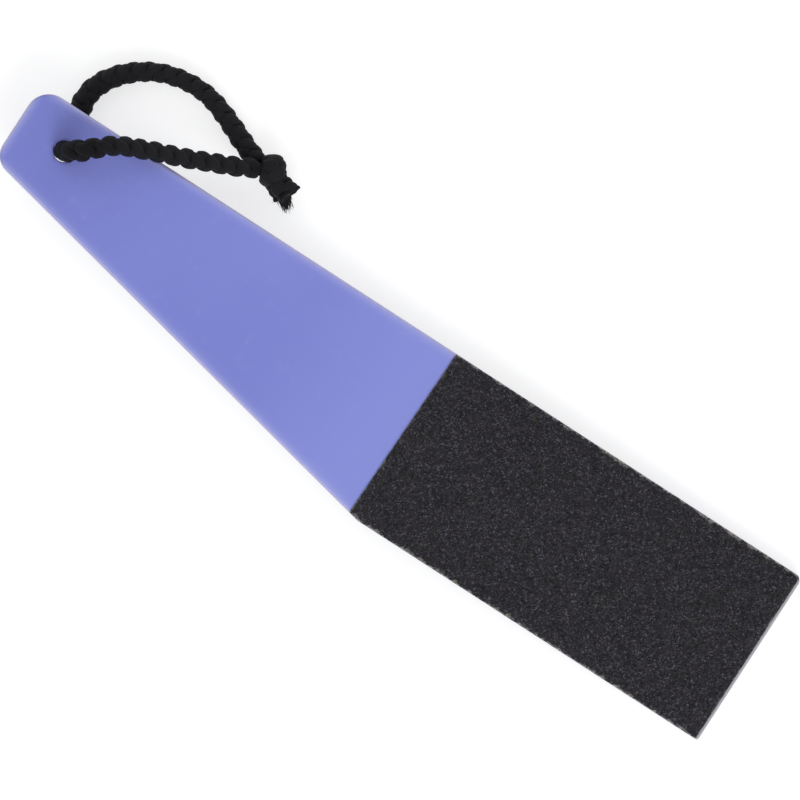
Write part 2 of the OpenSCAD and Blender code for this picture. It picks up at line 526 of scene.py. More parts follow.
@dataclass(frozen=True)
class BlackYarn:
    """Black polyester yarn, of fine filaments that lie along each strand."""

    name: str = "black_yarn"
    tone: Colour = shade(9, 9, 10)
    light_tone: Colour = shade(34, 33, 37)
    # Darkened tone: painted darker by the hole, and painted shade in the groove beside the wrap
    fresh_tone: Colour = shade(2, 2, 4)
    filaments: int = 46
    filament_turn: float = 1.1
    filament_depth: float = 0.045 * MM
    filament_wander: float = 5.0
    fuzz_size: float = 0.5 * MM
    fuzz_depth: float = 0.06 * MM
    rub_size: float = 5 * MM
    fresh_share: float = 0.85
    least_roughness: float = 0.62
    gloss: float = 0.14
    sheen: float = 0.04
    sheen_roughness: float = 0.5
    sheen_tone: Colour = (0.75, 0.78, 0.9, 1.0)

    def material(self) -> bpy.types.Material:
        """The yarn's material, by the mesh's place on its strand and how much darker it is painted there.

        Returns:
            The material.
        """
        shader = Shader(self.name)
        yarn = shader.stored("yarn", "Vector")
        parts = shader.node("ShaderNodeSeparateXYZ", sockets={0: yarn})
        across, round_it, along = (Signal(shader, socket) for socket in parts.outputs)
        angle = round_it.math("ARCTAN2", round_it, across)
        fuzz = shader.noise(self.fuzz_size, 3.0)
        turn = angle * self.filaments + along * self.filament_turn + fuzz * self.filament_wander
        line = turn.sine() * 0.5 + 0.5
        rub = shader.noise(self.rub_size, 2.0)
        base = shader.blend(line * 0.55 + rub * 0.4, self.tone, self.light_tone)
        # Painted darker where the cord bends out of the hole, and painted shade in the groove beside the
        # wrap
        base = shader.blend(shader.stored("fresh") * self.fresh_share, base, self.fresh_tone)
        normal = shader.bump(line, self.filament_depth, shader.bump(fuzz, self.fuzz_depth))
        return shader.finish(
            Base_Color=base,
            Roughness=line * 0.15 + self.least_roughness,
            Normal=normal,
            Specular_IOR_Level=self.gloss,
            Sheen_Weight=self.sheen,
            Sheen_Roughness=self.sheen_roughness,
            Sheen_Tint=self.sheen_tone,
        )


@dataclass(frozen=True)
class MeltedYarn:
    """The hard skin that is left where a hot knife has cut the cord, with a painted highlight along the
    crest round it.
    """

    tone: Colour = shade(4, 4, 5)
    # Painted highlight tone of the cut's crest
    ash_tone: Colour = shade(42, 41, 45)
    lump_size: float = 0.8 * MM
    lump_depth: float = 0.15 * MM
    gloss: float = 0.12

    def material(self) -> bpy.types.Material:
        """The melted skin's material, which reads the painted highlight on its crest from the mesh.

        Returns:
            The material.
        """
        shader = Shader("melted_yarn")
        lumps = shader.noise(self.lump_size, 4.0)
        # Painted highlight along the crest, broken up by the lumps
        ash = shader.stored("crest") * (lumps * 0.6 + 0.6)
        return shader.finish(
            Base_Color=shader.blend(ash, self.tone, self.ash_tone),
            Roughness=lumps * 0.4 + 0.35,
            Normal=shader.bump(lumps, self.lump_depth),
            Specular_IOR_Level=self.gloss,
        )


class Draft:
    """Points and faces of a mesh that is being put together, with the values stored at its points."""

    def __init__(self) -> None:
        """Starts with nothing."""
        self.points: list[np.ndarray] = []
        self.faces: list[list[int]] = []
        self.values: dict[str, list[np.ndarray]] = {}
        self.count = 0

    def add(self, points: np.ndarray, faces: Sequence[Sequence[int]], **values: np.ndarray) -> None:
        """Adds a part.

        Args:
            points: Its points, one a row.
            faces: The numbers of each face's points, from 0 within this part.
            values: Numbers or vectors for its points, by the names they are stored under.
        """
        self.points.append(points)
        self.faces.extend([self.count + int(corner) for corner in face] for face in faces)
        for name, numbers in values.items():
            self.values.setdefault(name, []).append(numbers)
        self.count += len(points)

    def piece(self, name: str, material: bpy.types.Material, smooth: bool = True) -> bpy.types.Object:
        """Makes the mesh and its object.

        Args:
            name: The piece's name.
            material: What it is made of.
            smooth: Whether its faces are shaded as one smooth skin.

        Returns:
            The object, linked to the scene.
        """
        mesh = bpy.data.meshes.new(name)
        mesh.from_pydata(np.concatenate(self.points).tolist(), [], self.faces)
        for label, numbers in self.values.items():
            stacked = np.concatenate(numbers).astype(np.float32)
            kind, key = ("FLOAT_VECTOR", "vector") if stacked.ndim == 2 else ("FLOAT", "value")
            mesh.attributes.new(label, kind, "POINT").data.foreach_set(key, stacked.ravel())
        mesh.polygons.foreach_set("use_smooth", [smooth] * len(mesh.polygons))
        mesh.materials.append(material)
        mesh.validate()
        made = bpy.data.objects.new(name, mesh)
        bpy.context.scene.collection.objects.link(made)
        log.info("%s: %d points, %d faces", name, len(mesh.vertices), len(mesh.polygons))
        return made


def bands(rows: int, columns: int, closed: bool = True, flip: bool = False) -> list[list[int]]:
    """Faces of four corners between rows of points.

    Args:
        rows: Number of rows.
        columns: Number of points in each row.
        closed: Whether the last column joins the first.
        flip: Whether the faces look the other way.

    Returns:
        The faces, by the points' numbers, row after row.
    """
    here = np.arange(columns if closed else columns - 1)
    after = (here + 1) % columns
    start = np.arange(rows - 1)[:, None] * columns
    below = start + columns
    faces = np.stack([start + here, start + after, below + after, below + here], axis=-1).reshape(-1, 4)
    return (faces[:, ::-1] if flip else faces).tolist()


def tube(rings: int, points: int, flip: bool = False) -> list[list[int]]:
    """Faces of a closed tube: those between its rings, and its two ends.

    Args:
        rings: Number of rings.
        points: Number of points in each ring.
        flip: Whether the faces look the other way.

    Returns:
        The faces, by the points' numbers.
    """
    first = list(range(points))
    last = list(range((rings - 1) * points, rings * points))
    ends = [first, last[::-1]] if flip else [first[::-1], last]
    return bands(rings, points, flip=flip) + ends


@dataclass(frozen=True)
class BoardFrame:
    """Where the pitched board lies: u runs along it, v across it, and w out of its coarse face."""

    origin: np.ndarray
    pitch: float

    @classmethod
    def from_hinge(cls, hinge: dict, hole_u: float, hole_v: float) -> "BoardFrame":
        """Finds the board by its hang hole.

        Args:
            hinge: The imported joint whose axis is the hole's.
            hole_u: The hole's place along the board.
            hole_v: The hole's place across the board.

        Returns:
            The board's frame.
        """
        axis = hinge["axis"]
        pitch = math.atan2(axis[0], axis[2])
        level = cls(np.zeros(3), pitch)
        return cls(np.array(hinge["pos_m"]) - level.at(np.array([[hole_u, hole_v, 0.0]]))[0], pitch)

    def at(self, points: np.ndarray) -> np.ndarray:
        """Carries points from the board's frame into the model's.

        Args:
            points: The u, v and w of each point.

        Returns:
            Their places in the model.
        """
        u, v, w = points[..., 0], points[..., 1], points[..., 2]
        cosine, sine = math.cos(self.pitch), math.sin(self.pitch)
        return self.origin + np.stack([u * cosine + w * sine, v, w * cosine - u * sine], axis=-1)


@dataclass(frozen=True)
class Board:
    """The moulded board: its outline, its rounded edges and its hang hole."""

    length: float = 239 * MM
    width: float = 51 * MM
    thickness: float = 3 * MM
    blade_length: float = 107 * MM
    handle_end_width: float = 23 * MM
    edge_round: float = 1 * MM
    edge_rings: int = 8
    end_corner_straight: float = 6.3 * MM
    end_corner_taper: float = 5.5 * MM
    tip_corner: float = 1.9 * MM
    lower_tip_corner: float = 0.6 * MM
    bend_corner: float = 2.5 * MM
    hole_radius: float = 2.8 * MM
    hole_from_end: float = 14.4 * MM
    hole_from_edge: float = 11.4 * MM
    hole_chamfer: float = 0.3 * MM
    hole_rings: int = 6
    hole_points: int = 64
    parting_line: float = 0.04 * MM
    parting_height: float = 0.12 * MM
    point_spacing: float = 2.5 * MM
    face_insets: tuple[float, ...] = (3.5 * MM, 2.2 * MM, 1.5 * MM)
    least_arc: float = 0.05 * MM
    # Reach of the rim that is painted paler, partly wear and partly painted light
    pale_rim: float = 2.7 * MM
    # Reach of the painted highlight along the edge's crest
    pale_crest: float = 0.9 * MM
    crest_height: Span = (0.3 * MM, 1.1 * MM)
    # Reach of the painted light towards the blade
    bloom_length: float = 50 * MM
    bloom_end: float = 5 * MM
    # Reach of the painted shade at the handle's end
    handled_length: float = 32 * MM
    dusty_tip: float = 2 * MM

    @property
    def hole_u(self) -> float:
        """The hang hole's place along the board."""
        return self.hole_from_end - self.length / 2

    @property
    def hole_v(self) -> float:
        """The hang hole's place across the board."""
        return self.width / 2 - self.hole_from_edge

    @property
    def hole_rim(self) -> float:
        """Radius of the ring on the face that the hole's rounded edge starts from."""
        return self.hole_radius + 2 * self.hole_chamfer

    @property
    def blade_start(self) -> float:
        """Where the lower edge bends from the taper into the blade."""
        return self.length / 2 - self.blade_length

    def corners(self) -> list[tuple[np.ndarray, float, int]]:
        """The outline's corners, clockwise from above.

        Returns:
            The place, the radius and the number of points of each.
        """
        end, side = self.length / 2, self.width / 2
        return [
            (np.array([-end, side]), self.end_corner_straight, 13),
            (np.array([end, side]), self.tip_corner, 9),
            (np.array([end, -side]), self.lower_tip_corner, 9),
            (np.array([self.blade_start, -side]), self.bend_corner, 5),
            (np.array([-end, side - self.handle_end_width]), self.end_corner_taper, 13),
        ]

    def lower_edge(self, u: np.ndarray) -> np.ndarray:
        """The v of the tapered and bent lower edge at each u."""
        rise = (self.width - self.handle_end_width) / (self.length - self.blade_length)
        return np.maximum(self.blade_start - u, 0) * rise - self.width / 2

    def ring(self, inset: float) -> np.ndarray:
        """The outline drawn in by a distance.

        Args:
            inset: The distance, which may be more than a corner's radius.

        Returns:
            Points round the outline, clockwise from above and as many for any inset.
        """
        corners = self.corners()
        arcs, gaps = [], []
        for i, (here, radius, steps) in enumerate(corners):
            back = unit(here - corners[i - 1][0])
            following = corners[(i + 1) % len(corners)][0]
            ahead = unit(following - here)
            reach = max(radius, inset + self.least_arc)
            sine = abs(back[0] * ahead[1] - back[1] * ahead[0])
            centre = here + (ahead - back) * reach / sine
            start = math.atan2(back[0], -back[1])
            stop = math.atan2(ahead[0], -ahead[1])
            angles = np.linspace(start, stop - TURN if stop > start else stop, steps)
            arcs.append(centre + (reach - inset) * polar(angles))
            gaps.append(round(float(np.linalg.norm(following - here)) / self.point_spacing))
        points = []
        for i, (arc, gap) in enumerate(zip(arcs, gaps)):
            shares = np.linspace(0, 1, gap + 1)[1:-1, None]
            points += [arc, arc[-1] + shares * (arcs[(i + 1) % len(arcs)][0] - arc[-1])]
        return np.concatenate(points)

    def edge_profile(self) -> list[tuple[float, float]]:
        """The rings of the board's edge, from the coarse face to the other face.

        Returns:
            The inset and w of each ring.
        """
        half = self.thickness / 2
        top = [(inset, half) for inset in self.face_insets]
        top += [(inset, half - drop) for inset, drop in quarter_round(self.edge_round, self.edge_rings)]
        top.append((0.0, self.parting_height))
        return top + [(-self.parting_line, 0.0)] + [(inset, -w) for inset, w in reversed(top)]

    def hole_profile(self) -> list[tuple[float, float]]:
        """The rings of the hole, from the coarse face to the other face.

        Returns:
            The radius and w of each ring.
        """
        half = self.thickness / 2
        rounded = quarter_round(self.hole_chamfer, self.hole_rings)
        top = [(self.hole_rim, half)] + [(self.hole_radius + back, half - drop) for back, drop in rounded]
        return top + [(radius, -w) for radius, w in reversed(top)]

    def face(self, outer: np.ndarray, hole: np.ndarray) -> tuple[np.ndarray, np.ndarray]:
        """Triangles that fill the flat of a face between its outer ring and the hole.

        Args:
            outer: The outer ring's points, as u and v.
            hole: The hole's outermost ring, as u and v.

        Returns:
            The points, and the triangles that look up.
        """
        low, high = outer.min(axis=0), outer.max(axis=0)
        pitch = 2 * self.point_spacing
        steps = [np.arange(a + pitch, b, pitch) for a, b in zip(low, high)]
        inner = np.stack(np.meshgrid(*steps), axis=-1).reshape(-1, 2)
        middle = np.array([self.hole_u, self.hole_v])
        clear = self.depth(inner) > self.face_insets[0] + pitch / 3
        inner = inner[clear & (np.linalg.norm(inner - middle, axis=1) > self.hole_rim + pitch / 3)]
        points = np.concatenate([outer, hole, inner])
        loops = [
            (start + i, start + (i + 1) % count)
            for start, count in ((0, len(outer)), (len(outer), len(hole)))
            for i in range(count)
        ]
        filled = delaunay_2d_cdt([tuple(p) for p in points.tolist()], loops, [], WITHIN_LOOPS, SAME_POINT)
        corners = np.array([tuple(v) for v in filled[0]])
        faces = np.array(filled[2])
        from_hole = np.linalg.norm(corners[faces].mean(axis=1) - middle, axis=1)
        kept = faces[from_hole > self.hole_rim - self.hole_chamfer / 2]
        a, b, c = (corners[kept[:, k]] for k in range(3))
        looks_down = np.cross(b - a, c - a) < 0
        kept[looks_down] = kept[looks_down][:, ::-1]
        return corners, kept

    def depth(self, points: np.ndarray) -> np.ndarray:
        """How far points are inside the outline.

        Args:
            points: The points, whose first two numbers are their u and v.

        Returns:
            The distance of each to the nearest edge, which is negative outside.
        """
        corners = [corner[0] for corner in self.corners()]
        away = []
        for i, here in enumerate(corners):
            along = unit(corners[(i + 1) % len(corners)] - here)
            offset = points[:, :2] - here
            away.append(along[1] * offset[:, 0] - along[0] * offset[:, 1])
        return np.min(away, axis=0)

    def build(self, frame: BoardFrame, material: bpy.types.Material) -> bpy.types.Object:
        """Makes the board.

        Args:
            frame: Where the board lies.
            material: Its plastic.

        Returns:
            The board's object.
        """
        rings = [np.insert(self.ring(inset), 2, w, axis=1) for inset, w in self.edge_profile()]
        circle = polar(round_angles(self.hole_points))
        middle = np.array([self.hole_u, self.hole_v])
        bore = [np.insert(middle + radius * circle, 2, w, axis=1) for radius, w in self.hole_profile()]
        flat, triangles = self.face(rings[0][:, :2], bore[0][:, :2])
        parts = [
            (np.concatenate(rings), bands(len(rings), len(rings[0]))),
            (np.concatenate(bore), bands(len(bore), len(bore[0]))),
            (np.insert(flat, 2, self.thickness / 2, axis=1), triangles.tolist()),
            (np.insert(flat, 2, -self.thickness / 2, axis=1), triangles[:, ::-1].tolist()),
        ]
        draft = Draft()
        for points, faces in parts:
            depth = self.depth(points)
            from_tip = self.length / 2 - points[:, 0]
            from_blade = self.blade_start - points[:, 0]
            draft.add(
                frame.at(points),
                faces,
                # Rim painted paler, partly wear and partly painted light
                rim=ease(depth, self.pale_rim, 0.0),
                # Painted highlight along the edge's crest
                crest=ease(depth, self.pale_crest, 0.0) * ease(np.abs(points[:, 2]), *self.crest_height),
                # Painted light, paler towards the blade
                bloom=ease(from_blade, self.bloom_length, self.bloom_end),
                # Painted shade, darker towards the handle's end
                handled=ease(self.length - from_tip, self.handled_length, self.handled_length / 2),
                dust=ease(from_tip, self.dusty_tip, self.edge_round),
            )
        return weld(draft.piece("moulded_board", material))


def weld(piece: bpy.types.Object, within: float = 0.002 * MM) -> bpy.types.Object:
    """Joins the points of a piece that lie together.

    Args:
        piece: The piece, whose mesh is changed.
        within: How near each other the joined points are.

    Returns:
        The same piece.
    """
    modifier = piece.modifiers.new("weld", "WELD")
    modifier.merge_threshold = within
    evaluated = piece.evaluated_get(bpy.context.evaluated_depsgraph_get())
    old, joined = piece.data, bpy.data.meshes.new_from_object(evaluated)
    piece.modifiers.remove(modifier)
    joined.name = old.name + "_mesh"
    piece.data = joined
    bpy.data.meshes.remove(old)
    return piece


class Face(Enum):
    """The board's two faces, by the way that each looks."""

    COARSE = 1
    FINE = -1


@dataclass(frozen=True)
class SheetRegion:
    """The place on the board that an abrasive sheet covers."""

    board: Board
    length: float = 108.32 * MM
    skew: float = math.radians(1.2)
    side_margin: float = 0.02 * MM
    tip_margin: float = 0.77 * MM
    tip_corner: float = 0.9 * MM
    lower_tip_corner: float = 0.4 * MM

    @property
    def side(self) -> float:
        """The v of the sheet's straight edge."""
        return self.board.width / 2 - self.side_margin

    def ends(self, v: np.ndarray, margin: np.ndarray | float) -> tuple[np.ndarray, np.ndarray]:
        """The sheet's inner edge and its tip edge.

        Args:
            v: Places across the board.
            margin: How far both edges are drawn in there.

        Returns:
            The u of the inner edge and of the tip edge at each place.
        """
        tip = self.board.length / 2 - self.tip_margin
        inner = tip - self.length - math.tan(self.skew) * (self.board.width / 2 - v)
        corner = np.where(v > 0, self.tip_corner, self.lower_tip_corner)
        into_corner = np.clip(np.abs(v) - (self.side - corner), 0, corner)
        rounding = corner - np.sqrt(corner**2 - into_corner**2)
        return inner + margin, tip - rounding - margin

    def place(
        self, s: np.ndarray, t: np.ndarray, sides: np.ndarray | float, ends: np.ndarray | float
    ) -> np.ndarray:
        """Points on the sheet.

        Args:
            s: From 0 at the inner edge to 1 at the tip.
            t: From 0 at the lower edge to 1 at the straight edge.
            sides: Margin to the long edges.
            ends: Margin to the inner edge and the tip.

        Returns:
            The u and v of each point.
        """
        inner, tip = self.ends((2 * t - 1) * self.side, ends)
        u = inner + s * (tip - inner)
        low = self.board.lower_edge(u) + self.side_margin + sides
        high = self.side - sides
        return np.stack([u, low + t * (high - low)], axis=-1)


@dataclass(frozen=True)
class AbrasiveSheet:
    """One abrasive sheet: backing paper, a bed of bonded grains and the grains that stand proud."""

    region: SheetRegion
    face: Face
    paper_base: float
    paper_thickness: float
    grit_height: float
    grain: float
    bed_spacing: float
    proud_spacing: float
    grit_margin: float = 0.04 * MM
    chip_length: float = 1.5 * MM
    chip_depth: float = 1.7 * MM
    tear_depth: float = 0.15 * MM
    end_wear: float = 0.42
    edge_seeds: int = 10
    bed_seed: int = 50
    proud_seed: int = 7
    rim_height: float = 0.45
    grain_floor: float = 0.35
    grain_growth: float = 0.5
    grain_tilt: float = 1.1
    grain_dome: float = 0.35
    lowest_grain: float = 0.05
    proud_inset: float = 0.6
    proud_reach: Span = (0.38, 0.72)
    proud_shape: Span = (0.6, 1.25)
    proud_unevenness: float = 0.14
    proud_seat: Span = (0.62, 0.78)
    proud_top: float = 1.12
    proud_tone: Span = (0.35, 1.0)

    # The paper's rings: margin, share of the tear, share of the thickness, and how torn it looks
    paper_layers = (
        (2.0 * MM, 0.0, 1.0, 0.0),
        (0.55 * MM, 0.6, 1.0, 0.35),
        (0.12 * MM, 1.0, 0.94, 0.9),
        (0.0, 1.0, 0.7, 1.0),
        (0.03 * MM, 0.8, 0.35, 1.0),
        (0.1 * MM, 0.7, 0.0, 0.8),
        (2.0 * MM, 0.0, 0.0, 0.0),
    )

    @property
    def name(self) -> str:
        """The sheet's name, which its CAD nodes start with."""
        return self.face.name.lower()

    @property
    def seed(self) -> int:
        """Where this sheet's random numbers start."""
        return 100 if self.face is Face.COARSE else 500

    @property
    def grit_base(self) -> float:
        """Height of the paper's face over the board's middle."""
        return self.paper_base + self.paper_thickness

    def counts(self, spacing: float) -> tuple[int, int]:
        """How many points of that spacing go across the sheet and along it."""
        return round(self.region.board.width / spacing), round(self.region.length / spacing)

    def lifted(self, plan: np.ndarray, w: np.ndarray | float) -> np.ndarray:
        """Points of the plan at a height w over the board's middle, on this sheet's face."""
        height = np.broadcast_to(np.asarray(w, float), plan.shape[:-1])[..., None]
        return np.concatenate([plan, self.face.value * height], axis=-1)

    def margins(
        self, s: np.ndarray, t: np.ndarray, depth: float, seed: int
    ) -> tuple[np.ndarray, np.ndarray]:
        """Ragged margins to the long edges and to the ends.

        Args:
            s: From 0 at the inner edge to 1 at the tip.
            t: From 0 at the lower edge to 1 at the straight edge.
            depth: Depth of the deepest chips.
            seed: Which ragged edge it is.

        Returns:
            The margin to the long edges and the margin to the ends, at each point.
        """
        along, across = (s * self.region.length, 1.0), (t * self.region.board.width, self.end_wear)
        low, high, inner, tip = (
            ragged(place, self.chip_length, depth * wear, seed + self.edge_seeds * number)
            for number, (place, wear) in enumerate((along, along, across, across))
        )
        return low * (1 - t) + high * t, inner * (1 - s) + tip * s

    def round_it(self, spacing: float = 0.3 * MM) -> tuple[np.ndarray, np.ndarray]:
        """Points round the sheet, anticlockwise from above.

        Args:
            spacing: Usual distance between them.

        Returns:
            The s and the t of each.
        """
        short_side, long_side = (np.linspace(0, 1, n, endpoint=False) for n in self.counts(spacing))
        s = np.concatenate([long_side, np.ones_like(short_side), 1 - long_side, np.zeros_like(short_side)])
        t = np.concatenate([np.zeros_like(long_side), short_side, np.ones_like(long_side), 1 - short_side])
        return s, t

    def outline(self, margin: float, depth: float, seed: int) -> np.ndarray:
        """The sheet's ragged outline.

        Args:
            margin: How far it is drawn in.
            depth: Depth of the deepest chips or tears.
            seed: Which ragged edge it is.

        Returns:
            Points in u and v, anticlockwise from above.
        """
        s, t = self.round_it()
        sides, ends = self.margins(s, t, depth, seed)
        return self.region.place(s, t, margin + sides, margin + ends)

    def build_paper(self, frame: BoardFrame, material: bpy.types.Material) -> bpy.types.Object:
        """Makes the backing paper, whose long edges are torn.

        Args:
            frame: Where the board lies.
            material: The paper.

        Returns:
            The paper's object.
        """
        t = self.round_it()[1]
        wear = np.where((t == 0) | (t == 1), 1.0, self.end_wear)
        rings, torn = [], []
        for margin, tear, share, looks_torn in self.paper_layers:
            plan = self.outline(margin, tear * self.tear_depth, self.seed)
            rings.append(self.lifted(plan, self.paper_base + share * self.paper_thickness))
            torn.append(looks_torn * wear)
        faces = tube(len(rings), len(t), flip=self.face is Face.COARSE)
        draft = Draft()
        draft.add(frame.at(np.concatenate(rings)), faces, torn=np.concatenate(torn))
        return draft.piece(f"{self.name}_backing_paper", material)

    def relief(self, plan: np.ndarray) -> tuple[np.ndarray, np.ndarray]:
        """The bed's packed angular grains.

        Args:
            plan: Points in u and v.

        Returns:
            The relief at each point, from 0 to 1, and the random number of the grain that it is on.
        """
        cell = plan / self.grain
        low = np.floor(cell.min(axis=(0, 1))).astype(int) - 2
        size = np.floor(cell.max(axis=(0, 1))).astype(int) - low + 4
        # For each grain, random numbers for its place, its tilt, its height and its tone
        chances = np.random.default_rng(self.seed).random((*size, 6))
        home = np.floor(cell).astype(int) - low
        best = np.full(plan.shape[:2], np.inf)
        height = np.zeros(plan.shape[:2])
        value = np.zeros(plan.shape[:2])
        for step in np.ndindex(3, 3):
            index = home + np.array(step) - 1
            own = chances[index[..., 0], index[..., 1]]
            offset = cell - low - index - own[..., :2]
            away = np.linalg.norm(offset, axis=-1)
            tilt = ((own[..., 2:4] - 0.5) * offset).sum(axis=-1)
            top = self.grain_floor + self.grain_growth * own[..., 4] + self.grain_tilt * tilt
            nearer = away < best
            best = np.where(nearer, away, best)
            height = np.where(nearer, top - self.grain_dome * away**2, height)
            value = np.where(nearer, own[..., 5], value)
        return np.clip(height, self.lowest_grain, 1.0), value

    def build_bed(self, frame: BoardFrame, material: bpy.types.Material) -> bpy.types.Object:
        """Makes the bed of grains, which ends at a chipped edge on the paper.

        Args:
            frame: Where the board lies.
            material: The grit.

        Returns:
            The bed's object.
        """
        rows, columns = self.counts(self.bed_spacing)
        t, s = np.meshgrid(np.linspace(0, 1, rows), np.linspace(0, 1, columns), indexing="ij")
        sides, ends = self.margins(s, t, self.chip_depth, self.seed + self.bed_seed)
        plan = self.region.place(s, t, self.grit_margin + sides, self.grit_margin + ends)
        height, value = self.relief(plan)
        rim = np.zeros((rows, columns), bool)
        rim[[0, -1], :] = rim[:, [0, -1]] = True
        height[rim] *= self.rim_height
        points = self.lifted(plan, self.grit_base + self.grit_height * height).reshape(-1, 3)
        number = np.arange(rows * columns).reshape(rows, columns)
        loop = np.concatenate([number[0, :-1], number[:-1, -1], number[-1, :0:-1], number[:0:-1, 0]])
        foot = self.lifted(plan.reshape(-1, 2)[loop], self.grit_base)
        flip = self.face is Face.FINE
        faces = bands(rows, columns, closed=False, flip=flip)
        below = len(points) + np.arange(len(loop))
        skirt = np.stack([loop, below, np.roll(below, -1), np.roll(loop, -1)], axis=1)
        faces += (skirt[:, ::-1] if flip else skirt).tolist()
        faces.append(below.tolist() if flip else below[::-1].tolist())
        draft = Draft()
        grain = np.concatenate([value.ravel(), value.ravel()[loop]])
        draft.add(frame.at(np.concatenate([points, foot])), faces, grain=grain)
        return draft.piece(f"{self.name}_grit_bed", material, smooth=False)

    def build_proud_grains(self, frame: BoardFrame, material: bpy.types.Material) -> bpy.types.Object:
        """Makes the crystals that stand out of the bed, each with eight facets.

        Args:
            frame: Where the board lies.
            material: The grit.

        Returns:
            The crystals, as one object.
        """
        random = np.random.default_rng(self.seed + self.proud_seed)
        rows, columns = self.counts(self.proud_spacing)
        middles = ((np.arange(number) + 0.5) / number for number in (rows, columns))
        t, s = np.meshgrid(*middles, indexing="ij")
        t = (t + random.uniform(-0.5, 0.5, t.shape) / rows).ravel()
        s = (s + random.uniform(-0.5, 0.5, s.shape) / columns).ravel()
        inset = self.grit_margin + self.chip_depth * self.proud_inset
        plan = self.region.place(np.clip(s, 0, 1), np.clip(t, 0, 1), inset, inset)
        count = len(plan)
        reach = self.grain * random.uniform(*self.proud_reach, (count, 1, 1))
        axes = np.concatenate([np.eye(3), -np.eye(3)])
        corners = axes * random.uniform(*self.proud_shape, (count, 6, 1))
        corners += random.normal(0, self.proud_unevenness, (count, 6, 3))
        turned = np.einsum("nij,nkj->nki", self.spins(random, count), corners) * reach
        seat = self.grit_height * random.uniform(*self.proud_seat, count)
        centres = self.lifted(plan, self.grit_base + seat)
        facets = [(a, b, c) for a in (0, 3) for b in (1, 4) for c in (2, 5)]
        signed = [facet if sum(facet) % 2 else facet[::-1] for facet in facets]
        faces = (np.array(signed) + 6 * np.arange(count)[:, None, None]).reshape(-1, 3)
        draft = Draft()
        grain = np.repeat(random.uniform(*self.proud_tone, count), 6)
        top = self.grit_base + self.proud_top * self.grit_height
        points = (centres[:, None, :] + turned).reshape(-1, 3)
        points[:, 2] = np.clip(points[:, 2], -top, top)
        draft.add(frame.at(points), faces.tolist(), grain=grain)
        return draft.piece(f"{self.name}_proud_grains", material, smooth=False)

    @staticmethod
    def spins(random: np.random.Generator, count: int) -> np.ndarray:
        """Random rotation matrices.

        Args:
            random: Where its random numbers come from.
            count: How many matrices to make.

        Returns:
            The matrices, one after another.
        """
        a, b, c, d = unit(random.normal(size=(count, 4))).T
        rows = [
            [1 - 2 * (c * c + d * d), 2 * (b * c - d * a), 2 * (b * d + c * a)],
            [2 * (b * c + d * a), 1 - 2 * (b * b + d * d), 2 * (c * d - b * a)],
            [2 * (b * d - c * a), 2 * (c * d + b * a), 1 - 2 * (b * b + c * c)],
        ]
        return np.moveaxis(np.array(rows), -1, 0)


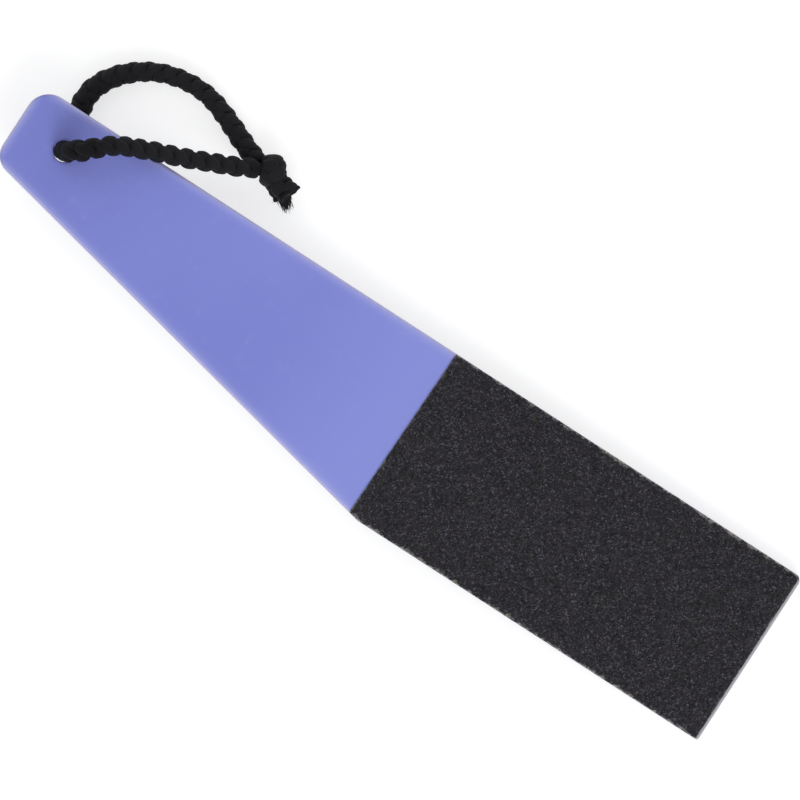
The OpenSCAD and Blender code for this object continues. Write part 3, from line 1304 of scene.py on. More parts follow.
@dataclass(frozen=True)
class Line:
    """A smooth line in space, with two directions across it that don't twist round it."""

    along: np.ndarray
    at: np.ndarray
    tangent: np.ndarray
    side: np.ndarray
    up: np.ndarray

    @classmethod
    def through(
        cls,
        route: np.ndarray,
        origin: int = 0,
        side: Sequence[float] = (1, 0, 0),
        spacing: float = 0.1 * MM,
        extra_points: int = 12,
    ) -> "Line":
        """A natural cubic curve through a route.

        Args:
            route: The points that it goes through.
            origin: Number of the point where its length is 0.
            side: About the way that its first direction across looks there.
            spacing: Distance between the points that it is kept as.
            extra_points: How many more points the curve is first worked out at, for each of the route's.

        Returns:
            The line.
        """
        knots = lengths_along(route)
        fine = np.linspace(0, knots[-1], extra_points * len(route) + round(knots[-1] / spacing))
        dense = cls.cubic(knots, route, fine)
        length = lengths_along(dense)
        even = np.linspace(0, length[-1], round(length[-1] / spacing) + 1)
        at = np.stack([np.interp(even, length, dense[:, k]) for k in range(3)], axis=1)
        tangent = unit(np.gradient(at, axis=0))
        along = even - np.interp(knots[origin], fine, length)
        start = int(np.abs(along).argmin())
        across = np.zeros_like(at)
        across[start] = cls.square_to(tangent[start], np.array(side, float))
        for i in range(start + 1, len(at)):
            across[i] = cls.square_to(tangent[i], across[i - 1])
        for i in range(start - 1, -1, -1):
            across[i] = cls.square_to(tangent[i], across[i + 1])
        return cls(along, at, tangent, across, np.cross(tangent, across))

    @staticmethod
    def cubic(knots: np.ndarray, route: np.ndarray, where: np.ndarray) -> np.ndarray:
        """Points of the natural cubic spline through a route.

        Args:
            knots: The length at each of the route's points.
            route: Those points.
            where: The lengths at which the spline is read.

        Returns:
            The spline's point at each of them.
        """
        gap = np.diff(knots)
        slopes = np.diff(route, axis=0) / gap[:, None]
        system = np.eye(len(knots))
        right = np.zeros_like(route)
        for i in range(1, len(knots) - 1):
            system[i, i - 1 : i + 2] = gap[i - 1], 2 * (gap[i - 1] + gap[i]), gap[i]
            right[i] = 6 * (slopes[i] - slopes[i - 1])
        bend = np.linalg.solve(system, right)
        i = np.clip(np.searchsorted(knots, where) - 1, 0, len(gap) - 1)
        late = ((where - knots[i]) / gap[i])[:, None]
        early = 1 - late
        curve = (early**3 - early) * bend[i] + (late**3 - late) * bend[i + 1]
        return early * route[i] + late * route[i + 1] + curve * gap[i][:, None] ** 2 / 6

    @staticmethod
    def square_to(tangent: np.ndarray, vector: np.ndarray) -> np.ndarray:
        """The part of a vector that is square to a tangent, at length 1."""
        return unit(vector - tangent * (vector @ tangent))

    def angle_of(self, direction: Sequence[float]) -> np.ndarray:
        """The angle round the line at which a direction lies, from side towards up."""
        way = np.array(direction, float)
        return np.arctan2(self.up @ way, self.side @ way)

    def bend(self, points: np.ndarray) -> np.ndarray:
        """Carries points from a straight cord along z onto this line.

        Args:
            points: Their places on the straight cord.

        Returns:
            Their places on the bent one.
        """
        z = points[..., 2]

        def read(rows: np.ndarray) -> np.ndarray:
            """The line's vectors at each z."""
            return np.stack([np.interp(z, self.along, rows[:, k]) for k in range(3)], axis=-1)

        return read(self.at) + points[..., :1] * read(self.side) + points[..., 1:2] * read(self.up)

    def run_on(self, extra: float) -> "Line":
        """The same line, run on straight past its last point.

        Args:
            extra: How far it runs on.

        Returns:
            The longer line.
        """
        rows = [np.concatenate([part, part[-1:]]) for part in (self.tangent, self.side, self.up)]
        at = np.concatenate([self.at, self.at[-1:] + extra * self.tangent[-1:]])
        return Line(np.append(self.along, self.along[-1] + extra), at, *rows)

    def part(self, start: float, stop: float, spacing: float = 1 * MM) -> list[list[float]]:
        """Points of the line from one length to another."""
        z = np.linspace(start, stop, max(2, round(abs(stop - start) / spacing)))
        return self.bend(np.stack([0 * z, 0 * z, z], axis=1)).tolist()


@dataclass(frozen=True)
class Stretch:
    """A stretch of a cord over which something grows from nothing to its full amount, and fades again.

    Growth and fading each hold the length where there is none of it, and the length where it is full.
    """

    full: float
    growth: Span
    fading: Span | None = None

    def at(self, z: np.ndarray) -> np.ndarray:
        """How much there is at each length along the cord."""
        amount = self.full * ease(z, *self.growth)
        return amount if self.fading is None else amount * ease(z, *self.fading)


@dataclass(frozen=True)
class Lay:
    """How a plait lies along its line, by functions of the length along it.

    The phase counts its strands' turns as an angle, twist is the way that its over-lying strands face, and
    girth is its size as a share of the usual one. A leaning plait has its lobes on one side ahead of those
    on the other: lean is how far ahead, as a share of the distance to the line's side and of that up from
    it. Its yarn is painted darker where darkened is 1.
    """

    phase: Spread
    twist: Spread
    girth: Spread
    lean: Spread = lambda z: np.zeros((len(z), 2))
    fresh: Spread = np.zeros_like


@dataclass(frozen=True)
class Plait:
    """A round plait of four strands, two turning each way, each over one and under one."""

    middle_radius: float = 1.22 * MM
    weave: float = 0.3 * MM
    weave_edge: float = 1.5
    spread: float = 0.15
    lag: float = 0.12
    half_width: float = 1.36 * MM
    half_thickness: float = 1.18 * MM
    squareness: float = 2.15
    unevenness: float = 0.05
    uneven_length: float = 3 * MM
    plies: int = 7
    ply_relief: float = 0.035
    ply_sharpness: float = 1.6
    ply_pitch: float = 11 * MM
    ring_points: int = 35
    ring_spacing: float = 0.26 * MM
    noise_seed: int = 40
    yarn_offset: float = 17

    def strand(self, number: int, z: np.ndarray, lay: Lay) -> tuple[np.ndarray, np.ndarray]:
        """One strand of a straight plait.

        Args:
            number: Which of the four it is.
            z: Places of its rings along the plait.
            lay: How the plait lies.

        Returns:
            The rings' points, and for each the yarn vector that the material reads.
        """
        way = 1 if number < 2 else -1
        phase, girth = lay.phase(z), lay.girth(z)
        angle = way * (phase - way * self.lag * np.sin(2 * phase)) + math.pi * (number % 2) + lay.twist(z)
        bumpy = wander(z / self.uneven_length, self.noise_seed + number) - 0.5
        over = way * np.tanh(self.weave_edge * np.cos(2 * phase)) / math.tanh(self.weave_edge)
        radius = (self.middle_radius + self.weave * over) * girth * (1 + self.unevenness * bumpy)
        centre = np.insert(radius[:, None] * polar(angle), 2, z, axis=1)
        heading = unit(np.gradient(centre, axis=0))
        outward = np.insert(polar(angle), 2, 0.0, axis=1)
        outward = unit(outward - heading * (outward * heading).sum(axis=1, keepdims=True))
        across = np.cross(heading, outward)
        turn = round_angles(self.ring_points)
        ply = self.plies * turn + way * TURN * z[:, None] / self.ply_pitch
        groove = 1 - self.ply_sharpness * np.abs(np.cos(ply / 2))
        size = girth[:, None] * (1 - self.ply_relief * groove)
        thick = self.half_thickness * signed_power(np.cos(turn), 2 / self.squareness) * size
        wide = self.half_width * signed_power(np.sin(turn), 2 / self.squareness) * size
        wide *= 1 + self.spread * over[:, None]
        points = centre[:, None] + thick[..., None] * outward[:, None] + wide[..., None] * across[:, None]
        points[..., 2] += (points[..., :2] * lay.lean(z)[:, None]).sum(axis=-1)
        yarn = np.empty_like(points)
        yarn[..., :2] = polar(turn)
        yarn[..., 2] = z[:, None] / MM + self.yarn_offset * number
        return points, yarn

    def add_to(
        self, draft: Draft, line: Line, span: Span, lay: Lay, squash: Sequence[float] = (1.0, 1.0)
    ) -> None:
        """Adds a plaited cord to a mesh.

        Args:
            draft: The mesh.
            line: The line that the cord follows.
            span: The lengths along the line where it starts and stops.
            lay: How its plait lies.
            squash: Its width across the line's side and up directions, as shares of its round width.
        """
        rings = round((span[1] - span[0]) / self.ring_spacing)
        z = np.linspace(*span, rings)
        faces = tube(rings, self.ring_points)
        fresh = np.repeat(lay.fresh(z), self.ring_points)
        for number in range(4):
            points, yarn = self.strand(number, z, lay)
            bent = line.bend(points * np.array([*squash, 1.0]))
            draft.add(bent.reshape(-1, 3), faces, yarn=yarn.reshape(-1, 3), fresh=fresh)


@dataclass(frozen=True)
class Fibres:
    """One kind of frayed fibre: how many there are, and how each grows from the cord's cut end.

    Its root lies within the root radius of the cord's middle, and its goal varies by the goal's spread. Its
    length is a share of the way there, and its own radius thins by a share towards its tip.
    """

    count: int
    root_radius: float
    goal_spread: float
    length: Span
    radius: Span
    thinning: float


@dataclass(frozen=True)
class HangingCord:
    """The plaited cord through the hang hole: its two runs, the knot's wrap and the two tails."""

    hole: np.ndarray
    plait: Plait = field(default_factory=Plait)
    tight_plait: Plait = field(default_factory=lambda: Plait(weave=0.22 * MM, half_width=1.43 * MM))
    diameter: float = 5 * MM

    # How the two runs' lobes lie: their pitch, where they start, and how they face and lean
    front_pitch: float = 8.8 * MM
    rear_pitch: float = 8.1 * MM
    rear_lead: float = -0.545
    front_onset: Span = (-12 * MM, 0.0)
    rear_turn: float = math.radians(118)
    hole_turn: float = math.radians(45)
    facing_from: float = 15 * MM
    hole_face: float = 1.5 * MM
    turn_below: Span = (-16 * MM, -1.5 * MM)
    turn_above: Span = (2 * MM, 10 * MM)
    rear_lean: float = -0.2
    front_lean: float = 0.22
    lean_change: Span = (-6 * MM, 6 * MM)

    # Where the cord is fuller or tighter, by lengths from the hole, from the rear end or from either end
    over_rim: Stretch = Stretch(0.13, (18 * MM, 11 * MM), (4.5 * MM, 9 * MM))
    under_rim: Stretch = Stretch(0.19, (-50 * MM, -18 * MM), (-3 * MM, -12 * MM))
    by_knot: Stretch = Stretch(0.09, (30 * MM, 12 * MM))
    into_knot: Stretch = Stretch(0.12, (6 * MM, 2 * MM))
    groove_depth: float = 0.24
    groove_from_end: float = 3.0 * MM
    groove_width: float = 1.0 * MM

    # Where the yarn is painted darker, by lengths from the hole and from the front end; by the wrap it is
    # painted shade
    fresh_by_hole: Stretch = Stretch(1.0, (25 * MM, 13 * MM), (-14 * MM, -6 * MM))
    fresh_by_wrap: Stretch = Stretch(1.0, (5.5 * MM, 3.5 * MM))

    # How the line leaves the plain tube's: aside in the hole, and up where it lies on the table
    hole_lean: tuple[float, float, float] = (-0.25 * MM, 0.05 * MM, 0.0)
    hole_reach: float = 3 * MM
    hole_heights: Span = (5 * MM, 1.5 * MM)
    lying_depths: Span = (7 * MM, 10.4 * MM)

    # The turn of cord round the knot
    knot_width: float = 9.0 * MM
    wrap_heading: float = math.radians(16)
    wrap_reach: int = 205
    wrap_step: int = 15
    wrap_tuck: float = 0.45
    wrap_tucked_from: float = 165
    wrap_side_power: float = 0.75
    wrap_top_power: float = 0.65
    wrap_thickness: float = 3.3 * MM
    wrap_widening: float = 1.26
    wrap_rise: float = 0.8 * MM
    wrap_slant: float = 0.1 * MM
    wrap_bend: float = 1.25 * MM
    wrap_bend_angles: Span = (20, 90)
    wrap_taper: Stretch = Stretch(0.14, (-2 * MM, -6 * MM))
    wrap_shift: tuple[float, float, float] = (-0.1 * MM, 0.62 * MM, 0.0)
    wrap_pitch: float = 8 * MM

    # The tails and their ends
    tail_squash: Span = (0.95, 1.28)
    tail_girth: float = 0.96
    tail_flare: float = 0.06
    flare_length: float = 4 * MM
    cut_slant: float = 0.17
    cut_skew: float = 0.12
    cut_points: int = 48
    cut_chips: float = 0.025
    chip_count: int = 7
    chip_start: float = 1.3
    # Painted highlight: the side of the cut's crest that is lit, and the share left on the shaded side
    pale_side: Span = (-0.3, 0.6)
    dark_side_share: float = 0.1
    cut_run_on: float = 3 * MM
    fray_seed: int = 31
    fray_depth: float = 1.3 * MM
    fray_curl: float = 0.25 * MM
    fray_turn: float = 0.5
    fray_points: int = 8
    fibre_sides: int = 7
    fray_clearance: float = 0.1 * MM
    tufts: Fibres = Fibres(16, 2.0 * MM, 0.4 * MM, (0.7, 0.98), (0.22 * MM, 0.38 * MM), 0.85)
    strays: Fibres = Fibres(150, 2.2 * MM, 0.55 * MM, (0.55, 1.1), (0.06 * MM, 0.12 * MM), 0.5)

    # Centreline above the board, from the middle of the hang hole, in millimetres as in the part's source
    front_route = (
        (0, 0, 0), (0, 0, 1.5), (0.5, 0.1, 4.1), (1.5, 0.6, 6.6), (2.8, 1.5, 8.4),
        (4.7, 3.1, 9.9), (6.7, 4.9, 10.5), (9, 7, 10.2), (11.6, 8.9, 8.8), (14.4, 10.4, 6.9),
        (17.4, 11.7, 5), (20.3, 12.9, 3.6), (23.4, 14.1, 2.5), (26.7, 15.4, 1.4), (30, 16.8, 0.1),
        (33.3, 18.3, -1.4), (36.7, 19.8, -3), (40.1, 21.4, -4.4), (43.2, 23, -5.1),
        (46, 24.3, -5.1), (48.9, 25, -5.1),
    )
    # Centreline under the board and round to the knot
    rear_route = (
        (0, 0, 0), (0, 0, -1.5), (-0.1, 0.4, -4.1), (-0.3, 1.5, -6.5), (-0.7, 3.3, -8.5),
        (-1.3, 5.6, -9.8), (-2.1, 8.2, -10.4), (-2.9, 11.2, -10.5), (-3.4, 14.4, -10.5),
        (-3.1, 17.8, -10.5), (-1.7, 21.3, -10.5), (0.8, 24.8, -10.5), (4, 27.9, -10.5),
        (7.8, 30.4, -10.5), (11.9, 32.1, -10.5), (15.9, 33, -10.5), (20, 33.3, -10.5),
        (24.1, 32.9, -10.5), (28.3, 31.7, -10.5), (32.2, 30.2, -10.5), (36.1, 28.5, -10.5),
        (40, 26.9, -10.5), (43.4, 25.7, -10.5), (46.2, 25, -10.5), (48.9, 25, -10.5),
    )
    # How far the full plait lifts the rear run off that, at places along the board, in millimetres
    rear_lift = ((10, 34, 46), (0.62, 0.26, 1.1))
    # The tails, from the runs' ends in the knot, in millimetres
    upper_tail = (
        (-0.1, -0.5, -0.6), (1.8, -1.0, -0.2), (3.8, -1.5, 0), (5.6, -1.95, 0), (6.8, -2.25, 0),
    )
    lower_tail = ((0, -0.2, 0), (1.6, -1.2, 0), (3.2, -2.1, 0), (4.8, -2.9, 0), (6.1, -3.7, 0))
    # Where the frayed fibres' three tufts end: the long one, the near one and the far one
    tuft_ends = ((8.4, -6.1, -0.6), (5.2, -5.4, -0.6), (8.8, -5.0, -0.3))
    # The melted end's rings in millimetres: radius, how far past the tail's end, and painted highlight on
    # the crest
    cut_profile = (
        (1.6, -1.5, 0.1), (2.2, -1.0, 0.3), (2.44, -0.5, 0.7), (2.58, -0.1, 1.0), (2.56, 0.12, 1.0),
        (2.45, 0.2, 0.9), (2.32, 0.12, 0.4), (2.2, -0.15, 0.0), (2.0, -0.5, 0.0), (1.5, -0.7, 0.0),
        (0.9, -0.8, 0.0), (0.35, -0.85, 0.0),
    )
    # The lumps round it: share of the radius, how many, and the angle that they start at
    cut_lumps = ((0.06, 3, 0.6), (0.045, 5, 2.1), (0.035, 9, 0.0))

    def line(self) -> Line:
        """The whole cord's line, from the knot under the board, through the hole and back to the knot.

        Returns:
            The line, whose length is 0 in the middle of the hole.
        """
        rear = np.array(self.rear_route[:0:-1], float) * MM
        lift = MM * np.interp(rear[:, 0] / MM, *self.rear_lift)
        rear[:, 2] += lift * ease(-rear[:, 2], *self.lying_depths)
        front = np.array(self.front_route, float) * MM
        route = np.concatenate([rear, front])
        in_hole = ease(np.abs(route[:, 2:]), *self.hole_heights) * (np.abs(route[:, :1]) < self.hole_reach)
        return Line.through(self.hole + route + np.array(self.hole_lean) * in_hole, origin=len(rear))

    def knot_centre(self, level: float = 0.0) -> np.ndarray:
        """The middle of the knot between the runs' ends, or that share of the way up to the upper one."""
        upper, lower = (np.array(route[-1], float) for route in (self.front_route, self.rear_route))
        return self.hole + MM * ((upper + lower) / 2 + level * (upper - lower) / 2)

    def lay(self, line: Line) -> Lay:
        """The whole cord's lay: a face of the plait is up over the board, and a gap is low in the hole.

        Args:
            line: The whole cord's line.

        Returns:
            The lay.
        """
        start, stop = float(line.along[0]), float(line.along[-1])
        over = line.angle_of((0, 0, 1))
        front_turn = self.mean_angle(over[line.along > self.facing_from])
        rear_over = self.mean_angle(over[line.along < -self.facing_from])
        low = float(line.angle_of((0, -1, 0))[np.abs(line.along - self.hole_face).argmin()])
        turn_in_hole = self.half_turn_from(front_turn, low + self.hole_turn)
        rear_turn = self.half_turn_from(turn_in_hole, rear_over + self.rear_turn)
        rear_lean, front_lean = (
            amount * np.array([-math.sin(way), math.cos(way)])
            for amount, way in ((self.rear_lean, rear_over), (self.front_lean, front_turn))
        )

        def phase(z: np.ndarray) -> np.ndarray:
            """Puts the lobes where they show in the photograph."""
            lead = self.rear_lead * (1 - ease(z, *self.front_onset))
            return lead + TURN * z / np.where(z > 0, self.front_pitch, self.rear_pitch)

        def twist(z: np.ndarray) -> np.ndarray:
            """Turns the plait from its one side to the other where it passes the hole."""
            below = (turn_in_hole - rear_turn) * ease(z, *self.turn_below)
            return rear_turn + below + (front_turn - turn_in_hole) * ease(z, *self.turn_above)

        def lean(z: np.ndarray) -> np.ndarray:
            """Leans each run's lobes its own way, as seen from above."""
            return rear_lean + (front_lean - rear_lean) * ease(z, *self.lean_change)[:, None]

        def girth(z: np.ndarray) -> np.ndarray:
            """Loosens the cord by the hole and the knot, and pulls it in at the knot and in the groove."""
            fuller = self.over_rim.at(z) + self.under_rim.at(z) + self.by_knot.at(z - start)
            return 1 + fuller - self.into_knot.at(np.minimum(z - start, stop - z)) - self.groove(stop - z)

        def fresh(z: np.ndarray) -> np.ndarray:
            """The cord is painted darker where it bends out of the hole, and with painted shade in the
            groove by the wrap.
            """
            return np.maximum(self.fresh_by_hole.at(z), self.fresh_by_wrap.at(stop - z))

        return Lay(phase, twist, girth, lean, fresh)

    def groove(self, from_end: np.ndarray) -> np.ndarray:
        """How much narrower the front run is beside the wrap, by the distance from its end."""
        return self.groove_depth * np.exp(-(((from_end - self.groove_from_end) / self.groove_width) ** 2))

    @staticmethod
    def half_turn_from(near: float, angle: float) -> float:
        """The angle or its opposite, whichever is within a quarter turn of another angle."""
        return near + (angle - near + QUARTER) % math.pi - QUARTER

    @staticmethod
    def mean_angle(angles: np.ndarray) -> float:
        """The middle direction of several angles."""
        return math.atan2(np.sin(angles).mean(), np.cos(angles).mean())

    def build_run(
        self, name: str, line: Line, stop: float, material: bpy.types.Material
    ) -> tuple[bpy.types.Object, list[list[float]]]:
        """Makes the cord between the middle of the hole and one end of its line.

        Args:
            name: The piece's name.
            line: The whole cord's line.
            stop: The length at that end, which is negative under the board.
            material: The cord's yarn.

        Returns:
            The run, and its centreline from the hole on.
        """
        draft = Draft()
        self.plait.add_to(draft, line, (min(stop, 0.0), max(stop, 0.0)), self.lay(line))
        return draft.piece(name, material), line.part(0.0, stop)

    def build_wrap(self, material: bpy.types.Material) -> bpy.types.Object:
        """Makes the turn of cord that wraps the knot, flattened where it is pulled tight.

        Args:
            material: The cord's yarn.

        Returns:
            The wrap's object.
        """
        heading = self.wrap_heading
        axis = np.array([math.cos(heading), math.sin(heading), 0])
        outward = np.array([math.sin(heading), -math.cos(heading), 0])
        centre = self.knot_centre() + np.array(self.wrap_shift)
        half_width = (self.knot_width - self.wrap_thickness) / 2
        half_height = float(centre[2]) - self.wrap_thickness / 2
        degrees = np.arange(-self.wrap_reach, self.wrap_reach + 1, self.wrap_step)
        angles = np.radians(degrees)
        tuck = 1 - self.wrap_tuck * ease(np.abs(degrees), self.wrap_tucked_from, self.wrap_reach)
        wide = signed_power(np.sin(angles), self.wrap_side_power) * half_width * tuck
        high = signed_power(np.cos(angles), self.wrap_top_power) * half_height * tuck
        high += self.wrap_rise * np.maximum(0.0, np.cos(angles))
        drift = self.wrap_slant * angles - self.wrap_bend * ease(-degrees, *self.wrap_bend_angles)
        route = centre + drift[:, None] * axis + wide[:, None] * outward
        route[:, 2] += high
        line = Line.through(route, origin=len(route) // 2, side=axis)
        draft = Draft()
        span = (float(line.along[0]), float(line.along[-1]))
        lay = self.even_lay(lambda z: 1 - self.wrap_taper.at(z))
        squash = (self.wrap_widening, self.wrap_thickness / self.diameter)
        self.tight_plait.add_to(draft, line, span, lay, squash)
        return draft.piece("knot_wrap", material)

    def even_lay(self, girth: Spread) -> Lay:
        """The lay of a short piece of the cord, of even pitch."""
        return Lay(lambda z: TURN * z / self.wrap_pitch, lambda z: np.full_like(z, QUARTER / 2), girth)

    def build_tail(
        self, name: str, level: int, route: Sequence[Sequence[float]], material: bpy.types.Material
    ) -> tuple[bpy.types.Object, Line]:
        """Makes one of the cord's two tails: the upper one flares at its end, and the lower one narrows.

        Args:
            name: The piece's name.
            level: 1 for the upper tail and -1 for the lower one.
            route: Its centreline from its run's end in the knot, in millimetres.
            material: The cord's yarn.

        Returns:
            The tail and its line.
        """
        line = Line.through(self.knot_centre(level) + MM * np.array(route, float), side=(0, 0, 1))
        stop = float(line.along[-1])
        flare = Stretch(level * self.tail_flare, (stop - self.flare_length, stop))
        lay = self.even_lay(lambda z: self.tail_girth + flare.at(z))
        draft = Draft()
        self.plait.add_to(draft, line, (0.0, stop), lay, self.tail_squash)
        return draft.piece(name, material), line

    def build_melted_end(self, line: Line, material: bpy.types.Material) -> bpy.types.Object:
        """Makes the hard uneven rim and sunken face of the upper tail's slanting cut.

        Args:
            line: The upper tail's line.
            material: The melted skin.

        Returns:
            The end's object.
        """
        angles = round_angles(self.cut_points)
        lumps = sum(size * np.sin(count * angles + start) for size, count, start in self.cut_lumps)
        chips = self.cut_chips * np.sin(self.chip_count * angles + self.chip_start)
        # Painted highlight: strong on the lit side of the crest and faint on the shaded side
        lower = self.dark_side_share + (1 - self.dark_side_share) * ease(-np.cos(angles), *self.pale_side)
        stop = float(line.along[-1])
        rings, crest = [], []
        for radius, ahead, paleness in self.cut_profile:
            reach = MM * radius * (1 + lumps)
            high, wide = (reach[:, None] * polar(angles) * self.tail_squash).T
            height = stop + MM * ahead - self.cut_slant * high - self.cut_skew * wide + chips * reach
            rings.append(np.stack([high, wide, height], axis=1))
            crest.append(paleness * lower)
        draft = Draft()
        points = line.run_on(self.cut_run_on).bend(np.concatenate(rings))
        draft.add(points, tube(len(rings), len(angles)), crest=np.concatenate(crest))
        return draft.piece("melted_cut_end", material)

    def build_frayed_end(self, line: Line, material: bpy.types.Material) -> bpy.types.Object:
        """Makes the tufts and stray fibres of the lower tail's frayed end, which draw to points.

        Args:
            line: The lower tail's line.
            material: The loose fibres' yarn, a lighter copy of the cord's as painted light that thin fibres
                catch.

        Returns:
            The fibres, as one object.
        """
        random = np.random.default_rng(self.fray_seed)
        draft = Draft()
        end, tangent, side, up = (rows[-1] for rows in (line.at, line.tangent, line.side, line.up))
        floor = float(self.knot_centre(-1)[2]) - self.diameter / 2 + self.fray_clearance
        tips = self.knot_centre(-1) + MM * np.array(self.tuft_ends)
        steps = np.linspace(0, 1, self.fray_points)[:, None]
        for kind in [self.tufts] * self.tufts.count + [self.strays] * self.strays.count:
            # Three in four go to the long tuft from all round, and the others to one on their own side
            tip = random.integers(-5, 3)
            if tip <= 0:
                angle = random.uniform(0, TURN)
            else:
                angle = QUARTER * (3 - 2 * tip) + random.normal(0, self.fray_turn)
            reach = kind.root_radius * math.sqrt(random.random())
            root = end - self.fray_depth * tangent + reach * (math.cos(angle) * side + math.sin(angle) * up)
            goal = tips[max(tip, 0)] + random.normal(0, kind.goal_spread, 3)
            length = random.uniform(*kind.length)
            curl = random.normal(0, self.fray_curl, 3)
            middle = root + length * steps * (goal - root) + np.sin(math.pi * steps) * curl
            middle[:, 2] = np.maximum(middle[:, 2], floor)
            radius = random.uniform(*kind.radius)
            self.add_fibre(draft, middle, radius * (1 - kind.thinning * steps[:, 0]))
        return draft.piece("frayed_fibres", material)

    def add_fibre(self, draft: Draft, middle: np.ndarray, radii: np.ndarray) -> None:
        """Adds a closed thin tube to a mesh.

        Args:
            draft: The mesh.
            middle: Points along its middle.
            radii: Its radius at each of them.
        """
        circle = polar(round_angles(self.fibre_sides))
        tangent = unit(np.gradient(middle, axis=0))
        first = unit(np.cross(tangent, (0.3, 0.2, 1.0)))
        across = np.stack([first, np.cross(tangent, first)], axis=1)
        points = middle[:, None] + radii[:, None, None] * (circle @ across)
        yarn = np.zeros_like(points)
        yarn[..., :2] = circle
        draft.add(points.reshape(-1, 3), tube(*points.shape[:2]), yarn=yarn.reshape(-1, 3))

    def build(self) -> None:
        """Makes the whole cord, fixes it to the swinging body and logs its two runs' lengths."""
        yarn, melted = BlackYarn().material(), MeltedYarn().material()
        # Painted light: the loose fibres get a lighter copy of the cord's yarn, for the light that thin
        # fibres catch
        loose = BlackYarn("loose_fibres", tone=shade(24, 24, 27), light_tone=shade(62, 61, 66)).material()
        line = self.line()
        front, front_path = self.build_run("cord_front_plait", line, float(line.along[-1]), yarn)
        rear, rear_path = self.build_run("cord_rear_plait", line, float(line.along[0]), yarn)
        wrap = self.build_wrap(yarn)
        upper, upper_line = self.build_tail("cord_upper_tail", 1, self.upper_tail, yarn)
        lower, lower_line = self.build_tail("cord_lower_tail", -1, self.lower_tail, yarn)
        cut = self.build_melted_end(upper_line, melted)
        frayed = self.build_frayed_end(lower_line, loose)
        nodes = {"cord_front_run": front, "cord_rear_run": rear, "cord_knot": wrap}
        for node, piece in nodes.items():
            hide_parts(node)
        for tail in (upper, lower):
            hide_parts("cord_ends")
        for piece in (front, rear, wrap, upper, lower, cut, frayed):
            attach(piece, "cord")
        self.declare(front, front_path)
        self.declare(rear, rear_path)

    def declare(
        self, run: bpy.types.Object, path: list[list[float]]
    ) -> None:
        """Logs how long a run is from the hang hole.

        Args:
            run: The run's plait.
            path: Its centreline from the hole on.
        """
        length = sum(math.dist(a, b) for a, b in zip(path, path[1:]))
        log.info("%s: %.1f mm long", run.name, length / MM)


@dataclass(frozen=True)
class Paddle:
    """The board with its two abrasive sheets."""

    board: Board = field(default_factory=Board)
    glue: float = 0.1 * MM

    def sheets(self) -> list[AbrasiveSheet]:
        """The coarse sheet on the upper face and the fine sheet on the lower one.

        Returns:
            Both sheets.
        """
        region = SheetRegion(self.board)
        base = self.board.thickness / 2 + self.glue
        coarse = AbrasiveSheet(
            region,
            Face.COARSE,
            paper_base=base,
            paper_thickness=0.35 * MM,
            grit_height=0.4 * MM,
            grain=0.42 * MM,
            bed_spacing=0.3 * MM,
            proud_spacing=0.75 * MM,
        )
        fine = AbrasiveSheet(
            region,
            Face.FINE,
            paper_base=base,
            paper_thickness=0.3 * MM,
            grit_height=0.2 * MM,
            grain=0.26 * MM,
            bed_spacing=0.36 * MM,
            proud_spacing=0.8 * MM,
        )
        return [coarse, fine]

    def build(self, frame: BoardFrame, nodes: dict[str, bpy.types.Object]) -> None:
        """Makes the board and the sheets and fixes them to the paddle's body.

        Args:
            frame: Where the board lies.
            nodes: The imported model's own pieces by name, of which the glue films stay.
        """
        made = self.board.build(frame, MouldedPlastic().material())
        self.fix(made, "board", "paddle_plastic")
        paper, glue = BackingPaper().material(), GlueFilm().material()
        grits = {
            Face.COARSE: BondedGrit("coarse_grit", grain=0.34 * MM, relief=0.12 * MM).material(),
            Face.FINE: BondedGrit("fine_grit", grain=0.2 * MM, relief=0.06 * MM).material(),
        }
        for sheet in self.sheets():
            grit = grits[sheet.face]
            self.fix(sheet.build_paper(frame, paper), f"{sheet.name}_paper", "backing_paper")
            for layer in (sheet.build_bed(frame, grit), sheet.build_proud_grains(frame, grit)):
                self.fix(layer, f"{sheet.name}_grit", f"{sheet.name}_abrasive")
            film = nodes[f"{sheet.name}_glue"]
            film.data.materials.clear()
            film.data.materials.append(glue)

    @staticmethod
    def fix(piece: bpy.types.Object, node: str, slot: str) -> None:
        """Fixes a piece to the paddle.

        Args:
            piece: The piece.
            node: The CAD node that it stands for.
            slot: The part's material slot that it belongs to; not used.
        """
        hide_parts(node)
        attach(piece, "paddle")


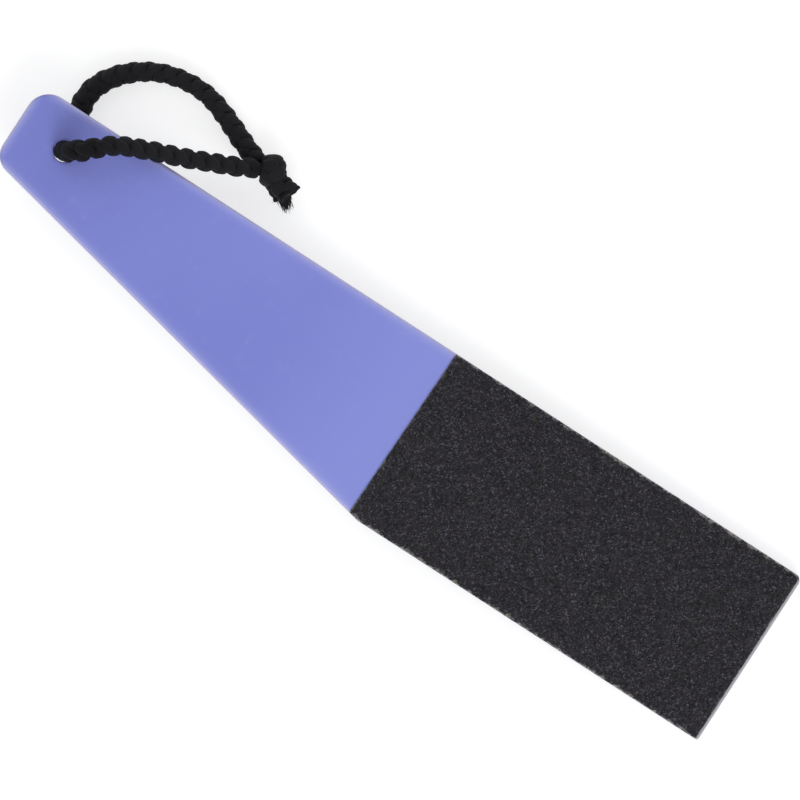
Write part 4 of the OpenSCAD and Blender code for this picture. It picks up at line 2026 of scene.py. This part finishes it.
@dataclass(frozen=True)
class Studio:
    """A white table under soft light, and the camera that looks straight down on it."""

    target: tuple[float, float, float] = (4.6 * MM, 7.25 * MM, 9 * MM)
    field_width: float = 210.6 * MM
    camera_height: float = 2.0
    camera_turn: float = math.radians(32.92)
    camera_reach: float = 20.0
    sensor: float = 36.0
    table_half_width: float = 4.0
    table_drop: float = 0.1 * MM
    table_tone: Colour = (0.46, 0.46, 0.46, 1.0)
    table_glow: float = 0.67
    sky_tone: Colour = (0.97, 0.98, 1.0, 1.0)
    sky_strength: float = 0.62

    def build_camera(self) -> None:
        """Makes the camera, at the photograph's viewing angle."""
        lens = bpy.data.cameras.new("camera")
        lens.sensor_width = self.sensor
        lens.lens = self.sensor * self.camera_height / self.field_width
        lens.clip_end = self.camera_reach
        camera = bpy.data.objects.new("camera", lens)
        x, y, z = self.target
        camera.location = (x, y, z + self.camera_height)
        camera.rotation_euler = (0, 0, self.camera_turn)
        bpy.context.scene.collection.objects.link(camera)
        bpy.context.scene.camera = camera

    @staticmethod
    def seen(tree: bpy.types.NodeTree) -> bpy.types.NodeSocket:
        """Tells the rays in which the studio is seen from those that light the object.

        Args:
            tree: The nodes that it adds to.

        Returns:
            A socket that is 1 for rays from the camera, from gloss and through glass, and else 0.
        """
        path = tree.nodes.new("ShaderNodeLightPath")
        socket = path.outputs["Is Camera Ray"]
        for name in ("Is Glossy Ray", "Is Transmission Ray"):
            either = tree.nodes.new("ShaderNodeMath")
            either.operation = "MAXIMUM"
            tree.links.new(socket, either.inputs[0])
            tree.links.new(path.outputs[name], either.inputs[1])
            socket = either.outputs[0]
        return socket

    def build_table(self) -> None:
        """Makes the pale table top, which shows white and keeps the object's shadow."""
        half = self.table_half_width
        corners = [(-half, -half), (half, -half), (half, half), (-half, half)]
        draft = Draft()
        draft.add(np.array([(x, y, -self.table_drop) for x, y in corners]), [[0, 1, 2, 3]])
        shader = Shader("table_top")
        tree = shader.material.node_tree
        lit = shader.read("ShaderNodeBsdfDiffuse", sockets={"Color": self.table_tone})
        glow = shader.node("ShaderNodeEmission", sockets={"Color": WHITE})
        strength = Signal(shader, self.seen(tree)) * self.table_glow
        tree.links.new(strength.socket, glow.inputs["Strength"])
        both = shader.read("ShaderNodeAddShader", sockets={0: lit, 1: Signal(shader, glow.outputs[0])})
        shader.node("ShaderNodeOutputMaterial", sockets={"Surface": both})
        table = draft.piece("table_top", shader.material, smooth=False)

    def build_sky(self) -> None:
        """Makes the surroundings: white where they are seen, and softer as a light."""
        world = bpy.data.worlds.new("studio")
        bpy.context.scene.world = world
        world.use_nodes = True
        tree = world.node_tree
        tree.nodes.clear()
        seen, unseen = (tree.nodes.new("ShaderNodeBackground") for _ in range(2))
        seen.inputs["Color"].default_value = WHITE
        unseen.inputs["Color"].default_value = self.sky_tone
        unseen.inputs["Strength"].default_value = self.sky_strength
        mix = tree.nodes.new("ShaderNodeMixShader")
        out = tree.nodes.new("ShaderNodeOutputWorld")
        tree.links.new(self.seen(tree), mix.inputs[0])
        tree.links.new(unseen.outputs[0], mix.inputs[1])
        tree.links.new(seen.outputs[0], mix.inputs[2])
        tree.links.new(mix.outputs[0], out.inputs["Surface"])

    @staticmethod
    def build_lamp(name: str, place: Sequence[float], width: float, power: float) -> None:
        """Makes a square soft box that looks at the model's origin.

        Args:
            name: The lamp's name.
            place: Where it stands.
            width: Its width.
            power: Its power in watts.
        """
        lamp = bpy.data.lights.new(name, "AREA")
        lamp.shape = "SQUARE"
        lamp.size = width
        lamp.energy = power
        box = bpy.data.objects.new(name, lamp)
        box.location = place
        box.rotation_euler = Vector(place).to_track_quat("Z", "Y").to_euler()
        bpy.context.scene.collection.objects.link(box)

    def build_lights(self) -> None:
        """Makes the surroundings and two soft boxes, the brighter one at the picture's lower right."""
        self.build_sky()
        self.build_lamp("key_light", place=(0.75, -0.7, 1.0), width=0.7, power=7.5)
        self.build_lamp("fill_light", place=(-0.9, 0.6, 1.1), width=0.9, power=2.5)


def main() -> None:
    """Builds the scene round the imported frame."""
    logging.basicConfig(level=logging.INFO, format="%(name)s: %(message)s")
    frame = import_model()
    hinge = frame["joints"][0]
    studio = Studio()
    studio.build_camera()
    cord = HangingCord(np.array(hinge["pos_m"], float))
    cord.build()
    paddle = Paddle()
    paddle.build(BoardFrame.from_hinge(hinge, paddle.board.hole_u, paddle.board.hole_v), frame["nodes"])
    studio.build_table()
    studio.build_lights()
    bpy.context.scene.view_settings.view_transform = "Standard"
    bpy.context.view_layer.update()


if __name__ == "__main__":
    main()
